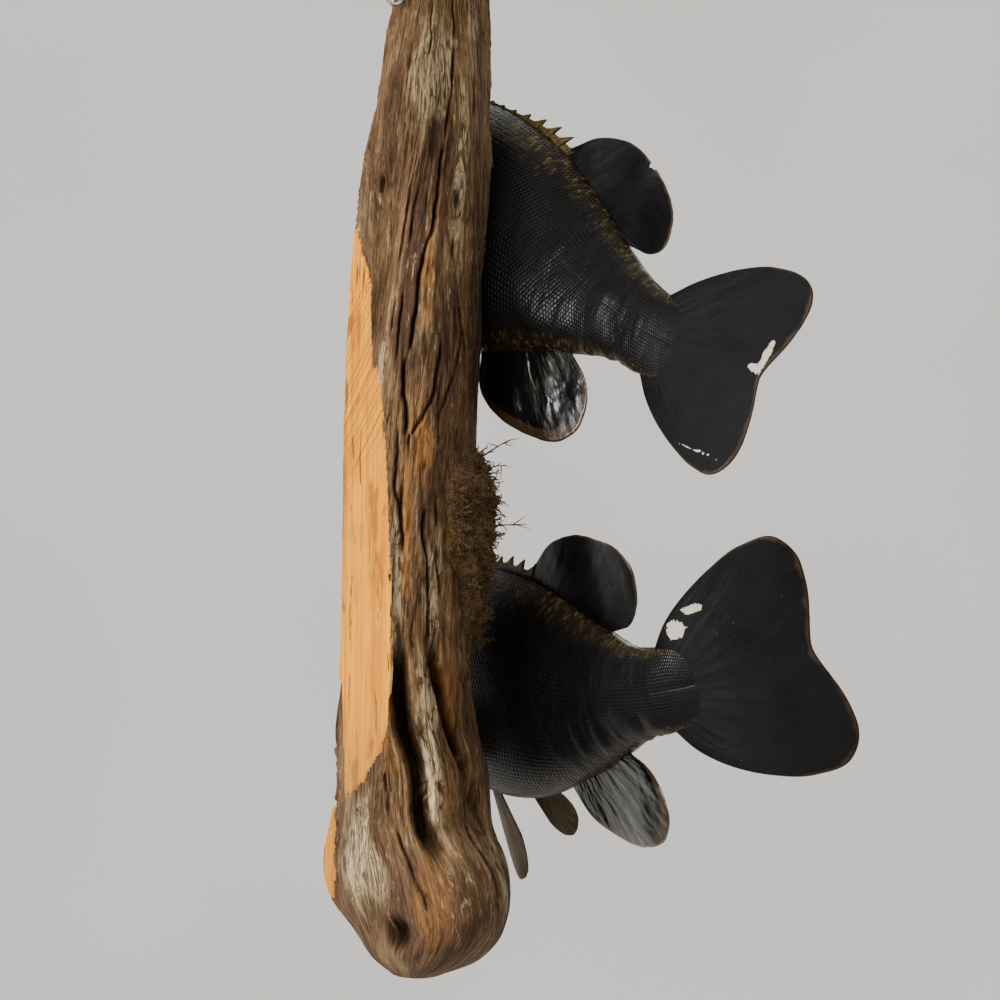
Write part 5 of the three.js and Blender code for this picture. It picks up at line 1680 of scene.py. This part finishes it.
def sawn_colour(f, place):
    """Warm sawn wood: upright growth rings, slanting saw marks above the middle, and reddish stains."""
    x, _, z = f.parts(place)
    slanted = f.joined(f.plus(z, f.times(x, 0.30)))
    saw = f.noise(f.stretch(slanted, (520.0, 1.0, 1.0)), 1.0, 2.0, 0.6)
    rings = f.noise(f.stretch(place, (150.0, 150.0, 5.0)), 1.0, 4.0, 0.55, 0.6)
    pores = f.noise(f.stretch(place, (1400.0, 1400.0, 60.0)), 1.0, 3.0, 0.65)
    stain = f.noise(f.stretch(place, (22.0, 22.0, 28.0)), 1.0, 4.0, 0.6)
    marked = f.times(f.ramp(-0.02, 0.03, z), f.ramp(0.13, 0.09, z))
    colour = f.mix(f.ramp(0.3, 0.7, rings), (0.56, 0.190, 0.001), (0.82, 0.330, 0.003))
    colour = f.over(colour, (0.34, 0.095, 0.002), f.ramp(0.48, 0.36, pores), 0.4)
    colour = f.over(colour, (0.15, 0.045, 0.004), f.times(f.ramp(0.50, 0.38, saw), f.times(marked, 0.85)))
    colour = f.over(colour, (0.20, 0.050, 0.003), f.ramp(0.56, 0.66, stain), 0.75)
    nicks = f.ramp(0.61, 0.65, f.noise(f.stretch(place, (75.0, 75.0, 24.0)), 1.0, 4.0, 0.6, 0.5))
    colour = f.over(colour, (0.09, 0.024, 0.004), nicks, 0.85)
    aged = f.noise(f.stretch(place, (1.0, 1.0, 0.6)), 24.0, 5.0, 0.65)
    colour = f.over(colour, (0.34, 0.110, 0.003), f.ramp(0.48, 0.62, aged), 0.5)
    colour = f.over(colour, (0.30, 0.13, 0.03), f.ramp(-0.11, -0.17, z), 0.5)
    height = f.minus(f.times(rings, 0.4), f.times(f.ramp(0.5, 0.3, saw), marked))
    return colour, height


def end_grain_colour(f, place):
    """Growth rings round the heart of the trunk's top, and cracks that run out from it."""
    x, y, _ = f.parts(place)
    across, depth = f.minus(x, TOP_HEART[0]), f.minus(y, TOP_HEART[1])
    from_heart = f.plus(f.length(across, depth), f.times(f.noise(place, 70.0, 3.0), 0.004))
    rings = f.noise(f.joined(from_heart), 900.0, 2.0, 0.6)
    bearing = f.joined(f.math("DIVIDE", across, from_heart), f.math("DIVIDE", depth, from_heart))
    cracks = f.band(f.noise(bearing, 2.4, 2.0), 0.5, 0.02)
    colour = f.mix(f.ramp(0.35, 0.65, rings), (0.075, 0.038, 0.016), (0.21, 0.135, 0.070))
    colour = f.over(colour, (0.060, 0.034, 0.018), f.ramp(0.40, 0.66, f.noise(place, 55.0, 5.0, 0.65)), 0.6)
    return f.mix(f.times(cracks, 0.9), colour, (0.014, 0.008, 0.004))


def driftwood_finish():
    """The weathered and the sawn wood, parted by the attribute `sawn`, and the rings of the trunk's top."""
    f = Finish("Weathered driftwood")
    place, grain = f.place(), f.attribute("grain")
    weathered, fibre_height = weathered_colour(f, grain, place)
    weathered = f.over(weathered, end_grain_colour(f, place), f.attribute("top", "Fac"))
    fresh, saw_height = sawn_colour(f, place)
    torn = f.stray(f.noise(f.stretch(place, (1.0, 1.0, 0.35)), 420.0, 3.0), 1.2)
    sawn = f.ramp(0.4, 0.6, f.plus(f.attribute("sawn", "Fac"), torn))
    height = f.node("ShaderNodeMix", {0: sawn, 2: fibre_height, 3: saw_height})
    return f.done(Base_Color=f.mix(sawn, weathered, fresh), Roughness=0.8, Specular_IOR_Level=0.2,
                  Normal=f.bumped(height, 0.0014, 0.75))


# %% Make the driftwood
def with_poles(values):
    """Attribute values of a capped grid: each pole takes the value of the row beside it."""
    return np.concatenate([values, values[:1], values[-1:]])


wood_points, wood_faces = capped(WOOD_POINTS)
wood_marks = {key: with_poles(values) for key, values in trunk_marks().items()}
wood = make_piece("weathered_driftwood", wood_points, wood_faces, wood_marks)
finish_with(wood, driftwood_finish(), "wood", "driftwood")

# %% [markdown]
# ## Moss and screw eye
#
# A cushion of dried moss is glued to the front corner of the wood. Particle hair would be the usual way to
# make it, but hair is not a solid. Here a lumpy pad follows the wood, and some thousand tapered tubes grow
# out of it: each main sprig curls under a random turn and carries short side shoots, and a few long
# fern-like twigs stand out further. The hanger is a bent wire with a screw thread: one tube whose radius
# follows a helix.


# %% Tubes
def tubes(lines, radii, sides):
    """Closed tubes along lines (count, rings, 3) with radii (count, rings): their points and faces."""
    count, rings = radii.shape
    way = unit(np.gradient(lines, axis=1))
    across = unit(np.cross(way, np.array([0.31, 0.57, 0.76])))
    upward = np.cross(way, across)
    turn = np.arange(sides) * 2 * np.pi / sides
    spokes = across[:, :, None] * np.cos(turn)[:, None] + upward[:, :, None] * np.sin(turn)[:, None]
    body = (lines[:, :, None] + radii[:, :, None, None] * spokes).reshape(count, -1, 3)
    points = np.concatenate([body, lines[:, :1], lines[:, -1:]], axis=1)
    step = (points.shape[1] * np.arange(count))[:, None, None]
    groups = [(faces + step).reshape(-1, faces.shape[1]) for faces in capped_faces(rings, sides)]
    points = points.reshape(-1, 3)
    return points, all_turned_out(points, groups)


def curled(start, way, length, curl, rings):
    """Lines from start along way that bend towards curl: start + length (way s + curl s^2 / 2)."""
    s = np.linspace(0, 1, rings)[None, :, None]
    return start[:, None] + length[:, None, None] * (way[:, None] * s + curl[:, None] * s**2 / 2)


# %% The moss
MOSS_LOW, MOSS_HIGH = -104, 16
MOSS_FROM, MOSS_TO = 7, 90
MOSS_THICK = 13
SPRIGS, SPRIG_RINGS, SPRIG_RADIUS = 760, 6, 0.5 * MM
SHOOTS, SHOOT_RADIUS = 6, 0.34 * MM
SHOOT_TAPER = (1.0, 1.1, 0.8, 0.3)

# long twigs: height and turn of the root, length in mm, and how far each leans aside and up
TWIGS = np.array([
    (2, 60, 14, -0.2, 0.5),
    (8, 50, 18, -0.5, 0.9),
    (-28, 66, 21, -0.4, 0.1),
    (-50, 58, 14, -0.5, 0.3),
    (-62, 62, 13, -0.6, 0.2),
    (-66, 55, 12, -0.6, 0.5),
    (-90, 60, 11, -0.5, -0.2),
])


def wood_surface(z, turn, out):
    """Points at a distance out (mm) from the sound wood, at height z and turn, and the way outwards there."""
    a = np.radians(turn)
    middle = along(TRUNK, z)
    radius = trunk_radius(z, turn) + out
    way = stack(-np.cos(a), -np.sin(a), 0 * a)
    return stack(middle[..., 0], middle[..., 1], z) * MM + way * radius[..., None] * MM, way


def moss_height(z, turn):
    """Thickness of the pad: a dome with a ragged rim, plus tufts, in millimetres."""
    wander = 5 * fractal(stack(z / 14, 0.0, 0.0), 2, 5)
    first = MOSS_FROM + 4 * ease(-20, 10, z) + 20 * ease(-30, -100, z) + wander
    across = np.clip((turn - first) / (MOSS_TO - first), 0, 1)
    tall = np.clip((z - MOSS_LOW) / (MOSS_HIGH - MOSS_LOW), 0, 1)
    ragged = 0.35 * fractal(round_trunk(z, turn, 1.0) / 9, 3, 210)
    dome = np.clip(np.sin(np.pi * across) * np.sin(np.pi * tall) * 1.9 - 0.2 + ragged * 0.8, 0, 1) ** 0.7
    tufts = fractal(round_trunk(z, turn, 1.0) / 7, 3, 260)
    tufts = tufts + 0.5 * fractal(round_trunk(z, turn, 1.0) / 2.2, 2, 280)
    return MOSS_THICK * dome * (0.72 + 0.5 * tufts) + 1.2 * tufts * dome


def moss_pad():
    """A closed plate over the wood between two heights and two turns."""
    heights, turns = np.linspace(MOSS_HIGH, MOSS_LOW, 130), np.linspace(MOSS_FROM, MOSS_TO, 96)
    z, turn = np.meshgrid(heights, turns, indexing="ij")
    inward = np.minimum.reduce([z - MOSS_LOW, MOSS_HIGH - z, turn - MOSS_FROM, MOSS_TO - turn]) / 6
    high = moss_height(z, turn)
    outer, _ = wood_surface(z, turn, np.where(high > 0.4, high, -2.0) * np.clip(inward, 0, 1))
    inner, _ = wood_surface(z, turn, -4.0)
    points = np.concatenate([outer.reshape(-1, 3), inner.reshape(-1, 3)])
    return points, turned_out(points, plate_faces(*z.shape))


def moss_stems(chance):
    """Lines of the curled sprigs and of the long twigs, with their lengths."""
    z = chance.uniform(MOSS_LOW + 3, MOSS_HIGH - 3, SPRIGS * 3)
    turn = chance.uniform(MOSS_FROM + 3, MOSS_TO - 3, SPRIGS * 3)
    kept = moss_height(z, turn) > 2.0
    z, turn = z[kept][:SPRIGS], turn[kept][:SPRIGS]
    start, way = wood_surface(z, turn, moss_height(z, turn) - 1.5)
    way = unit(way * 0.9 + chance.normal(0, 0.55, start.shape) + [0, 0, 0.15])
    length = chance.uniform(3.0, 7.5, len(start)) * MM
    curl = chance.normal(0, 0.7, start.shape) - way * 0.3
    twig_z, twig_turn, twig_length, aside, up = TWIGS.T
    twig_start, twig_way = wood_surface(twig_z, twig_turn, moss_height(twig_z, twig_turn) - 1.0)
    twig_way = unit(twig_way + stack(0.0, aside, up))
    start, way = np.concatenate([start, twig_start]), np.concatenate([way, twig_way])
    length = np.concatenate([length, twig_length * MM])
    curl = np.concatenate([curl, 0.25 * chance.normal(0, 1, twig_start.shape)])
    return curled(start, way, length, curl, SPRIG_RINGS), length


def side_shoots(stems, length, chance):
    """Lines of short shoots that leave the stems at random places."""
    k = chance.uniform(0.25, 0.95, (len(stems), SHOOTS)) * (SPRIG_RINGS - 1)
    low = np.minimum(k.astype(int), SPRIG_RINGS - 2)
    row = np.arange(len(stems))[:, None]
    start = mix(stems[row, low], stems[row, low + 1], (k - low)[..., None]).reshape(-1, 3)
    along_stem = unit(stems[row, low + 1] - stems[row, low]).reshape(-1, 3)
    way = unit(along_stem + chance.normal(0, 0.9, start.shape))
    short = np.repeat(length, SHOOTS) * chance.uniform(0.16, 0.4, len(start))
    return curled(start, way, short, chance.normal(0, 0.6, start.shape), len(SHOOT_TAPER))


def moss_sprigs():
    """Tubes for the sprigs and twigs, and thinner ones for their side shoots."""
    chance = np.random.default_rng(8)
    stems, length = moss_stems(chance)
    thick = SPRIG_RADIUS * chance.uniform(0.8, 1.3, len(stems))
    radii = thick[:, None] * np.linspace(1, 0.35, SPRIG_RINGS)
    shoots = side_shoots(stems, length, chance)
    shoot_radii = np.full((len(shoots), 1), SHOOT_RADIUS) * SHOOT_TAPER
    return tubes(stems, radii, 4), tubes(shoots, shoot_radii, 3)


def moss_finish():
    """Dried moss: rust-brown and olive tufts, pale straw tips, and nearly black painted shade in its hollows.
    """
    f = Finish("Dried moss")
    place, tip = f.place(), f.attribute("tip", "Fac")
    patch = f.noise(place, 70.0, 4.0, 0.6)
    strand = f.noise(place, 900.0, 3.0, 0.6)
    colour = f.mix(f.ramp(0.36, 0.62, patch), (0.034, 0.015, 0.005), (0.075, 0.042, 0.010))
    colour = f.over(colour, (0.155, 0.078, 0.020), f.ramp(0.42, 0.68, strand), 0.8)
    colour = f.over(colour, (0.23, 0.13, 0.038), f.times(tip, f.ramp(0.35, 0.75, strand)))
    # Painted shade: nearly black patches, at random, where hollows between the tufts would fall dark.
    colour = f.over(colour, (0.012, 0.007, 0.003), f.ramp(0.42, 0.28, f.noise(place, 260.0, 3.0)))
    return f.done(Base_Color=colour, Roughness=0.92, Normal=f.bumped(strand, 0.0015, 0.9))


def make_moss():
    """The pad, the sprigs and the shoots as one mesh. Its attribute tip is low on the pad."""
    pad_points, pad_faces = moss_pad()
    clumps, faces, offset = [pad_points], [pad_faces], len(pad_points)
    for points, groups in moss_sprigs():
        clumps.append(points)
        faces += [group + offset for group in groups]
        offset += len(points)
    tip = np.full(offset, 0.8)
    tip[:len(pad_points)] = 0.15
    moss = make_piece("moss_cushion", np.concatenate(clumps), faces, {"tip": tip})
    return finish_with(moss, moss_finish(), "moss", "moss")


make_moss()

# %% The screw eye
RING_RADIUS, WIRE_RADIUS, SHANK, BARE_SHANK = 6.0, 1.3, 11.0, 3.0
HANGER_AT, HANGER_TURN = (-13, -10, 268), -66
THREAD_PITCH, THREAD_DEPTH = 1.25, 0.28


def screw_eye():
    """A wire that runs round the ring and then down the shank, thinned by a helical thread near its point.

    Along the shank the radius is wire - depth (1 - cos(2 pi s / pitch - turn)) / 2 at distance s and turn.
    """
    loop = np.linspace(np.pi * 1.93, 0.12, 70)
    ring_line = stack(RING_RADIUS * np.cos(loop), RING_RADIUS * np.sin(loop), 0.0)
    bend = curve([ring_line[-1], (RING_RADIUS + 0.6, 0.15, 0.0), (RING_RADIUS + 2.0, 0.0, 0.0)], 10)[1:-1]
    shank = np.linspace(RING_RADIUS + 2.0, RING_RADIUS + SHANK, 96)
    line = np.concatenate([ring_line, bend, stack(shank, 0.0, 0.0)])
    way = unit(np.gradient(line, axis=0))
    flat = np.array([0.0, 0.0, 1.0])
    side = unit(np.cross(flat, way))
    turn = np.linspace(0, 2 * np.pi, 24, endpoint=False)
    s = np.maximum(line[:, :1] - RING_RADIUS - BARE_SHANK, 0)
    thread = THREAD_DEPTH * (1 - np.cos(2 * np.pi * s / THREAD_PITCH - turn)) / 2 * ease(0, 0.6, s)
    point = 1 - 0.75 * ease(SHANK - BARE_SHANK - 2.5, SHANK - BARE_SHANK, s)
    radius = (WIRE_RADIUS - thread) * point
    spokes = side[:, None] * np.cos(turn)[:, None] + flat * np.sin(turn)[:, None]
    grid = line[:, None] + radius[..., None] * spokes
    x, y, z = grid[..., 0], -grid[..., 2], grid[..., 1]
    c, s = np.cos(np.radians(HANGER_TURN)), np.sin(np.radians(HANGER_TURN))
    return (stack(x * c - y * s, x * s + y * c, z) + HANGER_AT) * MM


def steel_finish():
    """Zinc-plated wire, drawn marks along it, with a little white corrosion."""
    f = Finish("Zinc-plated steel")
    place = f.place()
    bloom = f.ramp(0.55, 0.72, f.noise(place, 420.0, 4.0, 0.6))
    drawn = f.noise(place, 2400.0, 2.0)
    colour = f.mix(bloom, (0.56, 0.56, 0.54), (0.40, 0.39, 0.36))
    roughness = f.plus(f.times(bloom, 0.3), 0.24)
    return f.done(Base_Color=colour, Metallic=1.0, Roughness=roughness, Normal=f.bumped(drawn, 0.0001, 0.5))


finish_with(make_piece("wire_screw_eye", *capped(screw_eye())), steel_finish(), "steel", "screw_eye")

# %% [markdown]
# ## Room, light and camera
#
# The trophy hangs before a plain pale room: a broad disc of floor well below it, whose rim turns up and on
# into a wall like a photographer's paper roll, so that no horizon shows. A large soft window above the wall
# side puts long highlights on the blacked flanks, and a second one lights the painted side. The camera stands
# a little behind the wall plane, below the middle of the trophy, and looks slightly up.

# %% Floor and backdrop
FLOOR_LEVEL = -0.95
FLAT_RADIUS, BEND_RADIUS, PAPER_TOP = 1.9, 1.7, 2.4
PAPER_SIDES = 96


def paper_finish():
    """Matt grey paper with broad, faint clouds."""
    f = Finish("Pale studio paper")
    colour = f.mix(f.noise(f.place(), 0.9, 2.0), (0.52, 0.50, 0.465), (0.68, 0.68, 0.67))
    return f.done(Base_Color=colour, Roughness=0.9)


def paper_roll():
    """One line of (distance, height), a flat, a quarter circle and a wall, turned about the vertical."""
    bend = np.linspace(0, np.pi / 2, 24)
    flat = stack(np.linspace(0.05, FLAT_RADIUS, 12)[:-1], 0.0)
    curved = stack(FLAT_RADIUS + BEND_RADIUS * np.sin(bend), BEND_RADIUS * (1 - np.cos(bend)))
    wall = stack(FLAT_RADIUS + BEND_RADIUS, np.linspace(BEND_RADIUS, PAPER_TOP - FLOOR_LEVEL, 5)[1:])
    line = np.concatenate([flat, curved, wall])
    turn = np.linspace(0, 2 * np.pi, PAPER_SIDES, endpoint=False)
    distance, height = line[:, None, 0], line[:, None, 1] + FLOOR_LEVEL
    points = stack(distance * np.cos(turn), distance * np.sin(turn), height)
    return points.reshape(-1, 3), grid_faces(len(line), PAPER_SIDES, wrap=True)


def make_stage():
    """The paper roll, closed in the middle by a fan, as stage and not as a piece of the trophy."""
    points, faces = paper_roll()
    mesh = bpy.data.meshes.new("studio_floor")
    middle = [[len(points), k, (k + 1) % PAPER_SIDES] for k in range(PAPER_SIDES)]
    mesh.from_pydata(points.tolist() + [[0, 0, FLOOR_LEVEL]], [], faces[:, ::-1].tolist() + middle)
    mesh.polygons.foreach_set("use_smooth", np.ones(len(mesh.polygons), bool))
    floor = bpy.data.objects.new("studio_floor", mesh)
    bpy.context.scene.collection.objects.link(floor)
    mesh.materials.append(paper_finish())


make_stage()


# %% Lights
FISH = (0.0, -0.1, 0.0)
WINDOWS = [
    # name, place, what it faces, width, watts, colour
    ("wall_side_window", (-1.1, 1.2, 0.8), FISH, 0.8, 26, (1.0, 0.92, 0.78)),
    ("wall_window", (-0.06, 1.25, 0.10), (-0.07, -0.1, -0.02), 0.55, 24, (1.0, 0.98, 0.95)),
    ("room_side_window", (-0.7, -2.0, 1.3), FISH, 1.4, 24, (1.0, 0.99, 0.97)),
    ("far_window", (1.7, -0.6, 1.5), FISH, 1.2, 12, (0.95, 0.97, 1.0)),
    ("backdrop_window", (0.9, -0.1, 1.9), (3.4, -0.7, 0.4), 1.5, 60, (0.97, 0.98, 1.0)),
]


def soft_window(name, at, look_at, size, watts, colour):
    """A square area light at a place, turned to look at a point."""
    data = bpy.data.lights.new(name, "AREA")
    data.size, data.energy, data.color = size, watts, colour
    window = bpy.data.objects.new(name, data)
    bpy.context.scene.collection.objects.link(window)
    window.location = at
    window.rotation_euler = (Vector(look_at) - Vector(at)).to_track_quat("-Z", "Y").to_euler()


for window in WINDOWS:
    soft_window(*window)

world = bpy.data.worlds.new("pale_room")
world.use_nodes = True
background = world.node_tree.nodes["Background"].inputs
background["Color"].default_value = (0.80, 0.80, 0.79, 1)
background["Strength"].default_value = 0.9
bpy.context.scene.world = world
print("soft windows:", len(WINDOWS))

# %% Camera
VIEW_TURN, VIEW_RISE = np.radians(15), np.radians(7)
CAMERA_DISTANCE = 1.4
FOCAL_SHARE = 2.562  # focal length as a share of the picture's width
AIM_RIGHT, AIM_UP = 0.0719, -0.0142  # the point looked at, to the right of and above the origin


def place_camera():
    """The camera looks along a direction turned from +X towards -Y and raised a little."""
    c, s = np.cos(VIEW_TURN), np.sin(VIEW_TURN)
    level = np.cos(VIEW_RISE)
    look = Vector((c * level, -s * level, np.sin(VIEW_RISE)))
    right = Vector((-s, -c, 0))
    target = right * AIM_RIGHT + Vector((0, 0, AIM_UP))
    data = bpy.data.cameras.new("camera")
    data.sensor_width, data.lens = 36.0, 36.0 * FOCAL_SHARE
    camera = bpy.data.objects.new("camera", data)
    bpy.context.scene.collection.objects.link(camera)
    up = right.cross(look)
    turn = Matrix((right, up, -look)).transposed()
    camera.matrix_world = Matrix.Translation(target - look * CAMERA_DISTANCE) @ turn.to_4x4()
    bpy.context.scene.camera = camera
    return camera


print("camera at", [round(v, 3) for v in place_camera().location])
